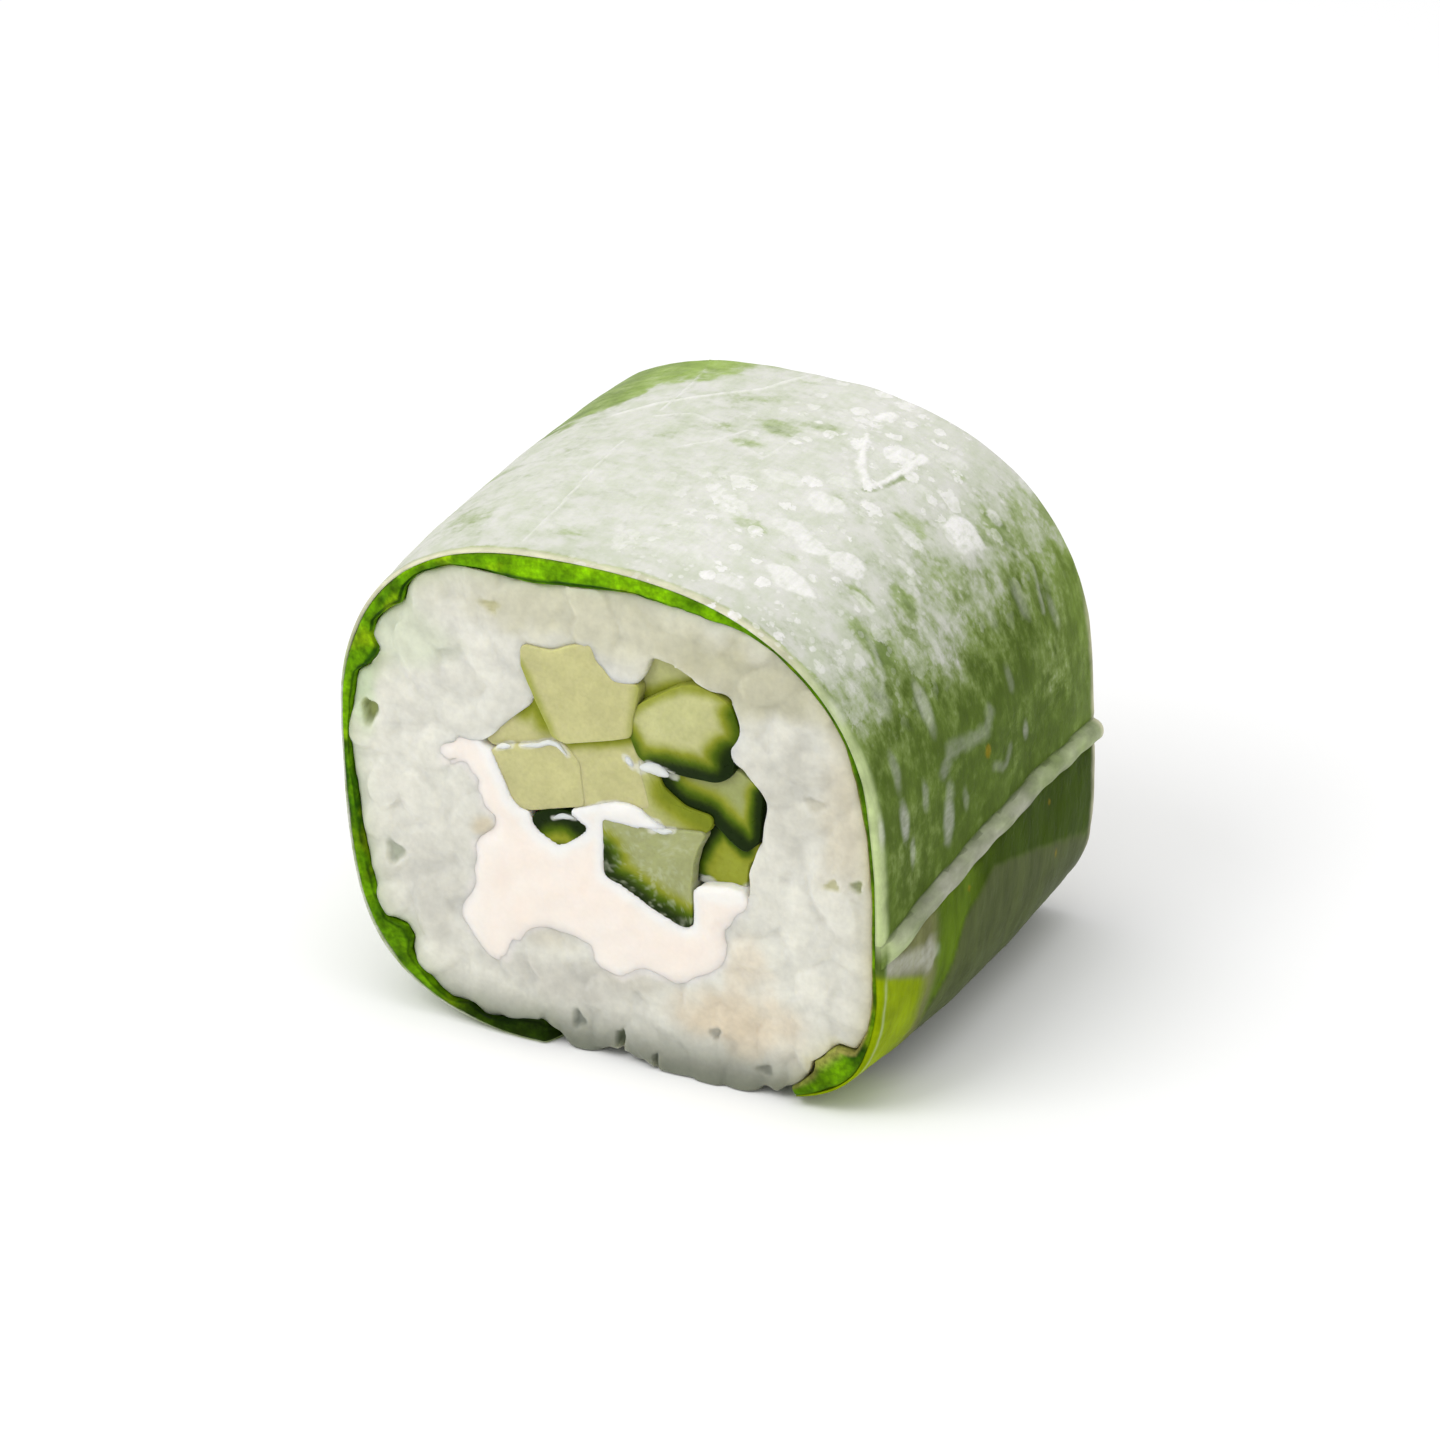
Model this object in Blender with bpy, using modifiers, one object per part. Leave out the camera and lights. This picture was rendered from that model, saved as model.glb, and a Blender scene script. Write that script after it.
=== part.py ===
"""A slice of cucumber and cream cheese roll, as solids in metres.

The roll lies with its axis along Y. The front cut face looks towards -Y, +X is to the right and +Z is up.
The origin is on the surface that the roll rests on, under its middle. From the outside in, the pieces are
a sheet of rice paper with a rolled seam, a lettuce leaf, a ring of rice, and a filling of cream cheese and
cucumber sticks that runs from one cut face to the other.
"""

import math

import bmesh
import bpy
import numpy as np

MM = 0.001

# Driving dimensions of the roll
LENGTH = 31.3 * MM
HALF_WIDTH = 19.0 * MM
HALF_HEIGHT = 17.45 * MM
FACE_X = -0.42 * MM
AXIS_X = FACE_X - 0.1 * MM
AXIS_Z = 17.3 * MM
LEAN = -0.053
CORNER_POWERS = {45: 2.5, 135: 2.67, 225: 3.58, 315: 4.14}
CORNER_BLEND = 4
OUTLINE_STEP = 0.02
SKIN_STEP = 0.03
BARREL = 0.6 * MM
BACK_GROWTH = 0.2 * MM

# Layers round the rice
GAP = 0.3 * MM
FILM = 0.45 * MM
LEAF_MM = {
    0: 0.45, 50: 0.5, 75: 0.7, 95: 1.2, 112: 1.7, 130: 1.2, 150: 1.5, 165: 0.6, 180: 0.4,
    200: 0.6, 220: 0.9, 240: 1.0, 270: 0.6, 290: 0.7, 308: 1.2, 318: 1.5, 330: 0.7, 345: 0.45,
}
LEAF_LEAST = 0.35 * MM
LEAF_WAVES = 7
LEAF_WAVE = 0.12 * MM
LEAF_WAVE_SLANT = 260.0
LAYER_SEGMENTS = 56
FILM_STATIONS = (0.0, 0.05, 0.16, 0.33, 0.5, 0.67, 0.84, 1.0)
LEAF_STATIONS = (0.0, 0.14, 0.38, 0.62, 0.86, 1.0)

# Rolled seam of the rice paper, low on the right side
SEAM_FRONT_Z = 12.0 * MM
SEAM_BACK_Z = 13.8 * MM
SEAM_BOW = 1.6 * MM
SEAM_HALF_WIDTH = 0.95 * MM
SEAM_HEIGHT = 0.95 * MM
SEAM_START = 0.5 * MM
SEAM_FADE = 1.2 * MM
SEAM_PROFILE = (-1.5, -1.0, -0.8, -0.45, 0.0, 0.45, 0.8, 1.0, 1.5)
SEAM_BLEND = math.radians(16.0)

# Where rice hangs over the wrapper, low on the front cut
LIP_MIDDLE = math.radians(280.0)
LIP_HALF_ANGLE = math.radians(24.0)
LIP_FADE = math.radians(5.0)
LIP_MARGIN = math.radians(11.0)
LIP_SETBACK = 2.7 * MM
LIP_RICE = 2.2 * MM
LIP_CLEAR = 0.12 * MM

# Rice
CORE_RECESS = 0.75 * MM
CORE_INSET = 0.15 * MM
CORE_STEP = 0.1 * MM
CORE_STATIONS = (-0.25, 0.0, 0.25)
GRAIN_LENGTH = 5.6 * MM
GRAIN_WIDTH = 2.9 * MM
GRAIN_DEPTH = 2.5 * MM
GRAIN_TAPER = 0.25
GRAIN_BLUNT = 0.5
GRAIN_SIDES = 5
GRAIN_RINGS = 4
GRAIN_SPACING = 2.6 * MM
GRAIN_EDGE = 1.0 * MM
GRAIN_TRIES = 2600
GRAIN_TIP = 0.35
GRAIN_SINK = (0.3 * MM, 1.1 * MM)
GRAIN_SCALE = (0.88, 1.08)
LIP_CORE = 1.74 * MM
LIP_GRAIN_SPACING = 2.5 * MM
LIP_GRAIN_SINK = 1.4 * MM
LIP_GRAIN_DEPTH = (1.35 * MM, 1.8 * MM)
LIP_GRAIN_TURN = 0.5
LIP_GRAIN_TIP = (0.7, 1.3)
LIP_GRAIN_SCALE = (0.9, 1.1)
WELD = 0.004 * MM
SEED = 41

# Cut ends of the filling lean a little from front to back
DRIFT_X = 0.9 * MM
DRIFT_Z = -0.5 * MM
OVERCUT = 2.0 * MM

# The hollow in the rice that holds the filling. Outlines on the front cut are x from FACE_X, and z, in
# millimetres
FILLING_MM = (
    (-12.0, 19.6), (-9.4, 21.1), (-7.3, 22.8), (-6.1, 25.2), (-6.2, 27.7), (-3.6, 28.7), (-1.3, 29.4),
    (0.3, 27.5), (2.1, 27.5), (2.7, 29.5), (5.9, 29.8), (8.4, 28.3), (9.8, 25.6), (9.2, 23.7),
    (11.2, 22.0), (11.2, 18.4), (10.1, 14.8), (9.2, 12.2), (7.6, 11.3), (7.7, 8.5), (4.2, 7.2),
    (0.4, 6.9), (-2.6, 9.1), (-5.4, 8.6), (-8.6, 6.2), (-10.5, 8.2), (-9.6, 12.0), (-8.2, 14.7),
    (-9.9, 17.5),
)
FILLING_STEPS = 3

# Cream cheese, round the lower left of the filling
CHEESE_MM = (
    (-11.2, 19.5), (-9.3, 20.4), (-8.3, 20.2), (-7.0, 16.4), (-2.0, 17.5), (2.5, 18.4), (3.5, 17.8),
    (2.3, 17.5), (-0.7, 17.3), (-0.6, 13.2), (2.0, 11.8), (4.7, 10.3), (6.4, 10.8), (6.1, 14.0), (9.2, 14.2),
    (8.8, 12.6), (7.2, 11.6), (7.3, 9.0), (4.0, 7.7), (0.6, 7.4), (-2.4, 9.5), (-5.5, 9.0), (-8.5, 6.8),
    (-10.0, 8.3), (-9.1, 12.0), (-7.8, 14.7), (-9.4, 17.6),
)
CHEESE_STEPS = 2
CHEESE_RECESS = 0.3 * MM

# Cucumber sticks: the outline of the cut end in millimetres, and how far each of its two ends lies back
STICK_INSET = 0.15 * MM
STICK_ROUND = 0.28 * MM
STICK_ROUND_SEGMENTS = 2
STICK_ROUND_ANGLE = math.radians(20.0)
STICKS = {
    "top_left": (
        ((-5.5, 27.2), (-1.6, 28.6), (-0.4, 26.9), (1.9, 26.7), (1.6, 23.6), (-3.0, 22.1)),
        0.2,
        0.9,
    ),
    "upper_left": (((-8.1, 21.4), (-5.5, 24.2), (-3.4, 22.2), (-3.2, 21.4)), 1.9, 0.8),
    "left": (((-7.9, 20.9), (-2.7, 21.2), (-1.9, 17.9), (-6.7, 16.7)), 0.8, 0.3),
    "middle": (((-2.6, 21.9), (1.6, 23.3), (2.1, 22.0), (2.4, 19.0), (-1.8, 18.0)), 1.3, 0.6),
    "centre": (
        ((2.3, 22.7), (3.6, 22.1), (3.5, 21.3), (6.8, 19.1), (6.2, 17.8), (4.4, 17.9), (2.6, 18.7)),
        1.0,
        1.6,
    ),
    "right": (
        ((3.7, 21.5), (7.6, 21.8), (9.0, 22.6), (10.2, 22.0), (10.7, 21.2), (10.5, 18.7), (9.6, 17.6),
         (7.2, 18.9)),
        1.5,
        0.4,
    ),
    "top_right": (
        ((1.8, 24.8), (2.5, 26.2), (4.6, 27.4), (6.8, 27.8), (8.4, 27.1), (9.0, 25.4), (8.3, 24.0),
         (8.0, 22.7), (4.9, 22.1), (2.0, 23.1)),
        0.4,
        1.2,
    ),
    "top": (((3.0, 29.1), (5.7, 29.3), (7.0, 28.5), (5.6, 28.3), (3.1, 27.7)), 2.6, 1.8),
    "bottom": (
        ((-0.4, 16.9), (2.6, 17.2), (6.1, 17.3), (5.6, 15.1), (6.0, 11.1), (4.7, 10.8), (-0.2, 13.4)),
        0.3,
        0.7,
    ),
    "lower_right": (
        ((6.5, 17.5), (7.4, 18.3), (9.5, 17.3), (10.2, 17.6), (9.4, 14.7), (6.2, 14.6)),
        2.2,
        1.0,
    ),
    "sliver": (((-5.5, 15.9), (-4.5, 16.9), (-2.9, 17.0), (-1.3, 16.3), (-3.7, 14.6)), 0.9, 0.5),
}
STICKS_IN_CHEESE = ("sliver",)

# Smooth shading runs over edges up to this angle
SMOOTH_ANGLE = math.radians(35.0)

# Colours as linear red, green and blue, with roughness
RICE_PAPER_FINISH = ((0.62, 0.72, 0.52), 0.35)
LEAF_FINISH = ((0.09, 0.25, 0.02), 0.45)
RICE_FINISH = ((0.72, 0.74, 0.68), 0.5)
CHEESE_FINISH = ((0.90, 0.82, 0.70), 0.45)
CUCUMBER_FINISH = ((0.50, 0.56, 0.24), 0.3)


def clear_scene() -> None:
    """Removes every object of the scene."""
    for obj in list(bpy.data.objects):
        bpy.data.objects.remove(obj, do_unlink=True)


def new_collection(name: str) -> bpy.types.Collection:
    """Links a new collection to the scene."""
    collection = bpy.data.collections.new(name)
    bpy.context.scene.collection.children.link(collection)
    return collection


def new_material(name: str, finish: tuple) -> bpy.types.Material:
    """A plain material of one colour and roughness."""
    colour, roughness = finish
    material = bpy.data.materials.new(name)
    material.use_nodes = True
    shader = material.node_tree.nodes["Principled BSDF"]
    shader.inputs["Base Color"].default_value = (*colour, 1.0)
    shader.inputs["Roughness"].default_value = roughness
    shader.inputs["Metallic"].default_value = 0.0
    return material


def mesh_object(name: str, bm: bmesh.types.BMesh, collection: bpy.types.Collection) -> bpy.types.Object:
    """Makes an object of a bmesh, with its faces turned outwards."""
    bmesh.ops.recalc_face_normals(bm, faces=bm.faces[:])
    mesh = bpy.data.meshes.new(name)
    bm.to_mesh(mesh)
    bm.free()
    obj = bpy.data.objects.new(name, mesh)
    collection.objects.link(obj)
    return obj


def finish(obj: bpy.types.Object, material: bpy.types.Material) -> None:
    """Gives a part its material, and smooth shading between its sharp edges."""
    obj.data.materials.append(material)
    obj.data.shade_smooth()
    obj.data.set_sharp_from_angle(angle=SMOOTH_ANGLE)


def corner_power(angle: np.ndarray) -> np.ndarray:
    """The roundness of the outline at each angle, blended between its four corners."""
    total = np.zeros_like(angle)
    weights = np.zeros_like(angle)
    for degrees, power in CORNER_POWERS.items():
        weight = np.clip(np.cos(angle - math.radians(degrees)), 0.0, None) ** CORNER_BLEND
        total += weight * power
        weights += weight
    return total / weights


def bare_outline(angle: np.ndarray) -> tuple:
    """The outline of a cut face: an ellipse with a power for each corner, that leans a little."""
    power = corner_power(angle)
    across = np.abs(np.cos(angle) / HALF_WIDTH) ** power
    upward = np.abs(np.sin(angle) / HALF_HEIGHT) ** power
    radius = (across + upward) ** (-1.0 / power)
    x = radius * np.cos(angle)
    z = radius * np.sin(angle)
    return AXIS_X + x + LEAN * z, AXIS_Z + z


def skin(angle: np.ndarray, y: np.ndarray) -> tuple:
    """The outer surface of the roll, swollen to a slight barrel and pressed flat where it rests."""
    x, z = bare_outline(angle)
    x_after, z_after = bare_outline(angle + OUTLINE_STEP)
    x_before, z_before = bare_outline(angle - OUTLINE_STEP)
    along_x, along_z = x_after - x_before, z_after - z_before
    length = np.hypot(along_x, along_z)
    share = 2.0 * y / LENGTH
    swell = BARREL * (1.0 - share**2) + BACK_GROWTH * 0.5 * (1.0 + share)
    return x + swell * along_z / length, np.maximum(z - swell * along_x / length, 0.0)


def layer(angle: np.ndarray, y: np.ndarray, depth: np.ndarray) -> np.ndarray:
    """Points a given depth under the outer surface, measured square to it."""
    x, z = skin(angle, y)
    x_after, z_after = skin(angle + SKIN_STEP, y)
    x_before, z_before = skin(angle - SKIN_STEP, y)
    along_x, along_z = x_after - x_before, z_after - z_before
    length = np.hypot(along_x, along_z)
    y = np.broadcast_to(y, x.shape)
    return np.stack([x - depth * along_z / length, y, z + depth * along_x / length], axis=-1)


def lip_share(angle: np.ndarray, margin: float = 0.0) -> np.ndarray:
    """1 where rice hangs over the wrapper, falling to 0 on both sides of that stretch and its margin."""
    away = np.abs((angle - LIP_MIDDLE + math.pi) % (2.0 * math.pi) - math.pi)
    share = np.clip((LIP_HALF_ANGLE + LIP_FADE + margin - away) / LIP_FADE, 0.0, 1.0)
    return share * share * (3.0 - 2.0 * share)


def leaf_thickness(angle: np.ndarray) -> np.ndarray:
    """Thickness of the leaf at each angle."""
    stations = list(LEAF_MM)
    return np.interp(np.degrees(angle), stations, [LEAF_MM[s] for s in stations], period=360.0) * MM


def leaf_depths(angle: np.ndarray, y: np.ndarray) -> tuple:
    """Depths of the leaf's outer and inner faces, whose inner face is wavy."""
    outer = np.full(np.broadcast_shapes(angle.shape, y.shape), FILM + GAP)
    wave = LEAF_WAVE * np.sin(LEAF_WAVES * angle + LEAF_WAVE_SLANT * y)
    return outer, outer + np.maximum(leaf_thickness(angle) + wave, LEAF_LEAST)


def rice_depth(angle: np.ndarray) -> np.ndarray:
    """Depth of the rice's outer side under the roll's outer surface."""
    return FILM + GAP + np.maximum(leaf_thickness(angle) + LEAF_WAVE, LEAF_LEAST) + GAP


def seam_angle(y: np.ndarray) -> np.ndarray:
    """Angle of the rolled seam, which climbs from the front to the back along a low arch."""
    share = y / LENGTH + 0.5
    height = SEAM_FRONT_Z + (SEAM_BACK_Z - SEAM_FRONT_Z) * share
    height = height + 4.0 * SEAM_BOW * share * (1.0 - share)
    return np.arctan2(height - AXIS_Z, HALF_WIDTH)


def film_angles(y: np.ndarray) -> np.ndarray:
    """Angles of the film's points at each y, close together across the seam and following it."""
    middle = float(seam_angle(np.zeros(1))[0])
    across = np.array(SEAM_PROFILE) * SEAM_HALF_WIDTH / HALF_WIDTH
    rest = np.linspace(across[-1], 2.0 * math.pi + across[0], LAYER_SEGMENTS)[1:-1]
    offsets = np.concatenate([across, rest])
    away = np.abs((offsets + math.pi) % (2.0 * math.pi) - math.pi)
    pull = np.clip(1.0 - (away - across[-1]) / SEAM_BLEND, 0.0, 1.0)
    return middle + offsets + (seam_angle(y) - middle) * pull


def seam_height(angle: np.ndarray, y: np.ndarray) -> np.ndarray:
    """How far the rolled seam stands out: half a round rod, with a rounded front end."""
    across = (angle - seam_angle(y) + math.pi) % (2.0 * math.pi) - math.pi
    share = np.clip(np.abs(across) * HALF_WIDTH / SEAM_HALF_WIDTH, 0.0, 1.0)
    start = np.clip((y + LENGTH / 2 - SEAM_START) / SEAM_FADE, 0.0, 1.0)
    return SEAM_HEIGHT * np.sqrt(1.0 - share**2) * np.sqrt(1.0 - (1.0 - start) ** 2)


def wall(name: str, outer: np.ndarray, inner: np.ndarray, collection) -> bpy.types.Object:
    """A closed tube wall between two grids of points, split into triangles alike on both faces."""
    rows, columns = outer.shape[:2]
    points = np.concatenate([outer.reshape(-1, 3), inner.reshape(-1, 3)])
    inside = rows * columns
    faces = []
    for row in range(rows - 1):
        for column in range(columns):
            after = (column + 1) % columns
            a, b = row * columns + column, row * columns + after
            c, d = a + columns, b + columns
            faces += [(a, b, d), (a, d, c)]
            faces += [(inside + a, inside + d, inside + b), (inside + a, inside + c, inside + d)]
    for row in (0, rows - 1):
        for column in range(columns):
            a, b = row * columns + column, row * columns + (column + 1) % columns
            faces += [(a, b, inside + b), (a, inside + b, inside + a)]
    bm = bmesh.new()
    verts = [bm.verts.new(point) for point in points]
    for face in faces:
        bm.faces.new([verts[i] for i in face])
    return mesh_object(name, bm, collection)


def make_film(collection: bpy.types.Collection) -> bpy.types.Object:
    """The sheet of rice paper, set back under the lip of rice, with its rolled seam."""
    outer, inner = [], []
    for station in FILM_STATIONS:
        angles = film_angles(np.full(1, LENGTH * (station - 0.5)))
        front = -LENGTH / 2 + LIP_SETBACK * lip_share(angles, LIP_MARGIN)
        y = front + (LENGTH / 2 - front) * station
        outer.append(layer(angles, y, -seam_height(angles, y)))
        inner.append(layer(angles, y, np.full(angles.shape, FILM)))
    return wall("rice_paper", np.array(outer), np.array(inner), collection)


def make_leaf(collection: bpy.types.Collection) -> bpy.types.Object:
    """The lettuce leaf between the rice paper and the rice."""
    angles = np.linspace(0.0, 2.0 * math.pi, LAYER_SEGMENTS, endpoint=False)
    front = -LENGTH / 2 + LIP_SETBACK * lip_share(angles, LIP_MARGIN)
    outer, inner = [], []
    for station in LEAF_STATIONS:
        y = front + (LENGTH / 2 - front) * station
        outer_depth, inner_depth = leaf_depths(angles, y)
        outer.append(layer(angles, y, outer_depth))
        inner.append(layer(angles, y, inner_depth))
    return wall("lettuce_leaf", np.array(outer), np.array(inner), collection)


def tube_solid(name: str, rings: list, collection: bpy.types.Collection) -> bpy.types.Object:
    """A solid between closed rings of equal count, with flat ends."""
    bm = bmesh.new()
    rows = [[bm.verts.new(point) for point in ring] for ring in rings]
    for before, after in zip(rows, rows[1:]):
        for column in range(len(before)):
            following = (column + 1) % len(before)
            bm.faces.new((before[column], before[following], after[following], after[column]))
    bm.faces.new(rows[0])
    bm.faces.new(rows[-1])
    bmesh.ops.triangulate(bm, faces=bm.faces[:])
    return mesh_object(name, bm, collection)


def rice_rings(recess: float, inset: float, lip: float) -> list:
    """Rings of the rice's outer side. Within the lip's length they reach out over the wrapper."""
    angles = np.linspace(0.0, 2.0 * math.pi, LAYER_SEGMENTS, endpoint=False)
    front, back = -LENGTH / 2 + recess, LENGTH / 2 - recess
    step = -LENGTH / 2 + LIP_RICE
    depth = rice_depth(angles) + inset
    over = depth + (lip - depth) * lip_share(angles)
    rings = [(front, over), (step, over), (step + CORE_STEP, depth)]
    rings += [(LENGTH * station, depth) for station in CORE_STATIONS]
    rings += [(back, depth)]
    return [layer(angles, np.full(angles.shape, y), d) for y, d in rings]


def smooth_outline(points: tuple, steps: int) -> np.ndarray:
    """A closed curve through the points, with a few steps between each two."""
    knots = np.array(points) * MM
    before, after = np.roll(knots, 1, axis=0), np.roll(knots, -1, axis=0)
    beyond = np.roll(knots, -2, axis=0)
    curve = []
    for step in range(steps):
        t = step / steps
        bend = 2.0 * before - 5.0 * knots + 4.0 * after - beyond
        twist = 3.0 * (knots - after) + beyond - before
        curve.append(knots + 0.5 * t * ((after - before) + t * (bend + t * twist)))
    return np.stack(curve, axis=1).reshape(-1, 2)


def inset_outline(points: np.ndarray, inset: float) -> np.ndarray:
    """A closed outline moved inwards by the same distance on every side."""
    centre = points.mean(axis=0)
    along = np.roll(points, -1, axis=0) - points
    along /= np.linalg.norm(along, axis=1, keepdims=True)
    normal = np.stack([-along[:, 1], along[:, 0]], axis=1)
    if np.sum(normal * (centre - points)) < 0.0:
        normal = -normal
    before = np.roll(normal, 1, axis=0)
    both = normal + before
    return points + inset * 2.0 * both / np.sum(both * both, axis=1, keepdims=True)


def drift(y: float) -> np.ndarray:
    """Where the filling's own x and z start at y."""
    share = y / LENGTH + 0.5
    return np.array([FACE_X + DRIFT_X * share, DRIFT_Z * share])


def prism(name: str, outline: np.ndarray, front: float, back: float, collection) -> bpy.types.Object:
    """An outline extruded from front to back, leaning with the filling."""
    bm = bmesh.new()
    start = outline + drift(front)
    face = bm.faces.new([bm.verts.new((x, front, z)) for x, z in start])
    grown = bmesh.ops.extrude_face_region(bm, geom=[face])
    moved = [item for item in grown["geom"] if isinstance(item, bmesh.types.BMVert)]
    shift_x, shift_z = drift(back) - drift(front)
    bmesh.ops.translate(bm, verts=moved, vec=(shift_x, back - front, shift_z))
    return mesh_object(name, bm, collection)


def apply_modifiers(obj: bpy.types.Object) -> None:
    """Replaces the object's mesh by its evaluated mesh."""
    graph = bpy.context.evaluated_depsgraph_get()
    mesh = bpy.data.meshes.new_from_object(obj.evaluated_get(graph))
    obj.modifiers.clear()
    old = obj.data
    obj.data = mesh
    bpy.data.meshes.remove(old)


def cut(obj: bpy.types.Object, other: bpy.types.Object, operation: str) -> None:
    """Applies one Boolean with another object."""
    modifier = obj.modifiers.new(operation.lower(), "BOOLEAN")
    modifier.operation = operation
    modifier.solver = "EXACT"
    modifier.object = other
    apply_modifiers(obj)


def join_collection(obj: bpy.types.Object, others: bpy.types.Collection) -> None:
    """Fuses every object of a collection onto this one, then removes them."""
    modifier = obj.modifiers.new("fuse", "BOOLEAN")
    modifier.operation = "UNION"
    modifier.solver = "EXACT"
    modifier.operand_type = "COLLECTION"
    modifier.collection = others
    apply_modifiers(obj)
    for other in list(others.objects):
        bpy.data.objects.remove(other, do_unlink=True)
    bpy.data.collections.remove(others)


def keep_largest(obj: bpy.types.Object) -> None:
    """Drops loose scraps and sealed hollows, so that one closed body is left."""
    bm = bmesh.new()
    bm.from_mesh(obj.data)
    bmesh.ops.triangulate(bm, faces=bm.faces[:])
    bmesh.ops.remove_doubles(bm, verts=bm.verts[:], dist=WELD)
    bmesh.ops.dissolve_degenerate(bm, edges=bm.edges[:], dist=WELD)
    bmesh.ops.triangulate(bm, faces=bm.faces[:])
    bm.verts.ensure_lookup_table()
    seen, islands = set(), []
    for start in bm.verts:
        if start in seen:
            continue
        island, waiting = [], [start]
        seen.add(start)
        while waiting:
            vert = waiting.pop()
            island.append(vert)
            for edge in vert.link_edges:
                other = edge.other_vert(vert)
                if other not in seen:
                    seen.add(other)
                    waiting.append(other)
        islands.append(island)
    islands.sort(key=len)
    for island in islands[:-1]:
        bmesh.ops.delete(bm, geom=island, context="VERTS")
    bm.to_mesh(obj.data)
    bm.free()


def hide_cutter(obj: bpy.types.Object) -> None:
    """Marks an object as a cutter."""
    obj.hide_render = True
    obj.display_type = "WIRE"


def distance_to(outline: np.ndarray, point: np.ndarray) -> float:
    """Shortest distance from a point to a closed outline, negative inside it."""
    start, end = outline, np.roll(outline, -1, axis=0)
    side = end - start
    share = np.clip(np.sum((point - start) * side, axis=1) / np.sum(side * side, axis=1), 0.0, 1.0)
    distance = np.linalg.norm(start + share[:, None] * side - point, axis=1).min()
    above = (start[:, 1] > point[1]) != (end[:, 1] > point[1])
    rise = np.where(above, side[:, 1], 1.0)
    crossing = start[:, 0] + (point[1] - start[:, 1]) * side[:, 0] / rise
    inside = np.count_nonzero(above & (point[0] < crossing)) % 2 == 1
    return -distance if inside else distance


def make_grain(name: str, place: tuple, turn: float, tip: float, scale: float, collection) -> None:
    """One grain: a long egg with few sides, turned in the cut face by turn and out of it by tip."""
    bm = bmesh.new()
    bmesh.ops.create_uvsphere(bm, u_segments=GRAIN_SIDES, v_segments=GRAIN_RINGS, radius=0.5)
    for vert in bm.verts:
        blunt = 1.0 - GRAIN_TAPER * vert.co.z + GRAIN_BLUNT * abs(vert.co.z)
        vert.co.x *= GRAIN_WIDTH * blunt * scale
        vert.co.y *= GRAIN_DEPTH * blunt * scale
        vert.co.z *= GRAIN_LENGTH * scale
    grain = mesh_object(name, bm, collection)
    grain.location = place
    grain.rotation_euler = (tip, turn, 0.0)


def face_grains(y: float, inward: float, rng, hollow: np.ndarray, grains: bpy.types.Collection) -> None:
    """Spreads grains over one cut face, between the filling and the leaf, none nearer than their spacing."""
    angles = np.linspace(0.0, 2.0 * math.pi, LAYER_SEGMENTS, endpoint=False)
    edge = layer(angles, np.full(angles.shape, y), rice_depth(angles))[:, [0, 2]]
    placed = []
    for _ in range(GRAIN_TRIES):
        point = np.array([rng.uniform(-HALF_WIDTH, HALF_WIDTH), rng.uniform(0.0, 2.0 * HALF_HEIGHT)])
        turn, tip = rng.uniform(0.0, math.pi), rng.uniform(-GRAIN_TIP, GRAIN_TIP)
        sink, scale = rng.uniform(*GRAIN_SINK), rng.uniform(*GRAIN_SCALE)
        if distance_to(edge, point) > -GRAIN_EDGE or distance_to(hollow, point) < GRAIN_EDGE:
            continue
        if placed and np.linalg.norm(np.array(placed) - point, axis=1).min() < GRAIN_SPACING:
            continue
        placed.append(point)
        place = (point[0], y + inward * sink, point[1])
        make_grain(f"grain_{len(grains.objects)}", place, turn, tip, scale, grains)


def lip_grains(rng, grains: bpy.types.Collection) -> None:
    """A row of grains that hang over the wrapper, low on the front cut."""
    reach = LIP_HALF_ANGLE * HALF_HEIGHT
    count = int(2.0 * reach / LIP_GRAIN_SPACING)
    for index in range(count + 1):
        angle = np.full(1, LIP_MIDDLE + LIP_HALF_ANGLE * (2.0 * index / count - 1.0))
        depth = rng.uniform(*LIP_GRAIN_DEPTH)
        x, _, z = layer(angle, np.full(1, -LENGTH / 2), depth)[0]
        turn, tip = rng.uniform(-LIP_GRAIN_TURN, LIP_GRAIN_TURN), rng.uniform(*LIP_GRAIN_TIP)
        place = (x, -LENGTH / 2 + LIP_GRAIN_SINK, z)
        make_grain(f"lip_grain_{index}", place, turn, tip, rng.uniform(*LIP_GRAIN_SCALE), grains)


def make_rice(collection: bpy.types.Collection, cutters: bpy.types.Collection) -> bpy.types.Object:
    """The ring of rice: a core with the grains of both cut faces fused on, trimmed to the space it fills."""
    rng = np.random.default_rng(SEED)
    hollow = smooth_outline(FILLING_MM, FILLING_STEPS)
    rice = tube_solid("rice", rice_rings(CORE_RECESS, CORE_INSET, LIP_CORE), collection)
    grains = new_collection("grains")
    face_grains(-LENGTH / 2, 1.0, rng, hollow + drift(-LENGTH / 2), grains)
    face_grains(LENGTH / 2, -1.0, rng, hollow + drift(LENGTH / 2), grains)
    lip_grains(rng, grains)
    join_collection(rice, grains)
    space = tube_solid("rice_space", rice_rings(0.0, 0.0, LIP_CLEAR), cutters)
    hollow_cutter = prism("filling_space", hollow, -LENGTH / 2 - OVERCUT, LENGTH / 2 + OVERCUT, cutters)
    cut(rice, space, "INTERSECT")
    cut(rice, hollow_cutter, "DIFFERENCE")
    hide_cutter(space)
    hide_cutter(hollow_cutter)
    keep_largest(rice)
    return rice


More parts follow.
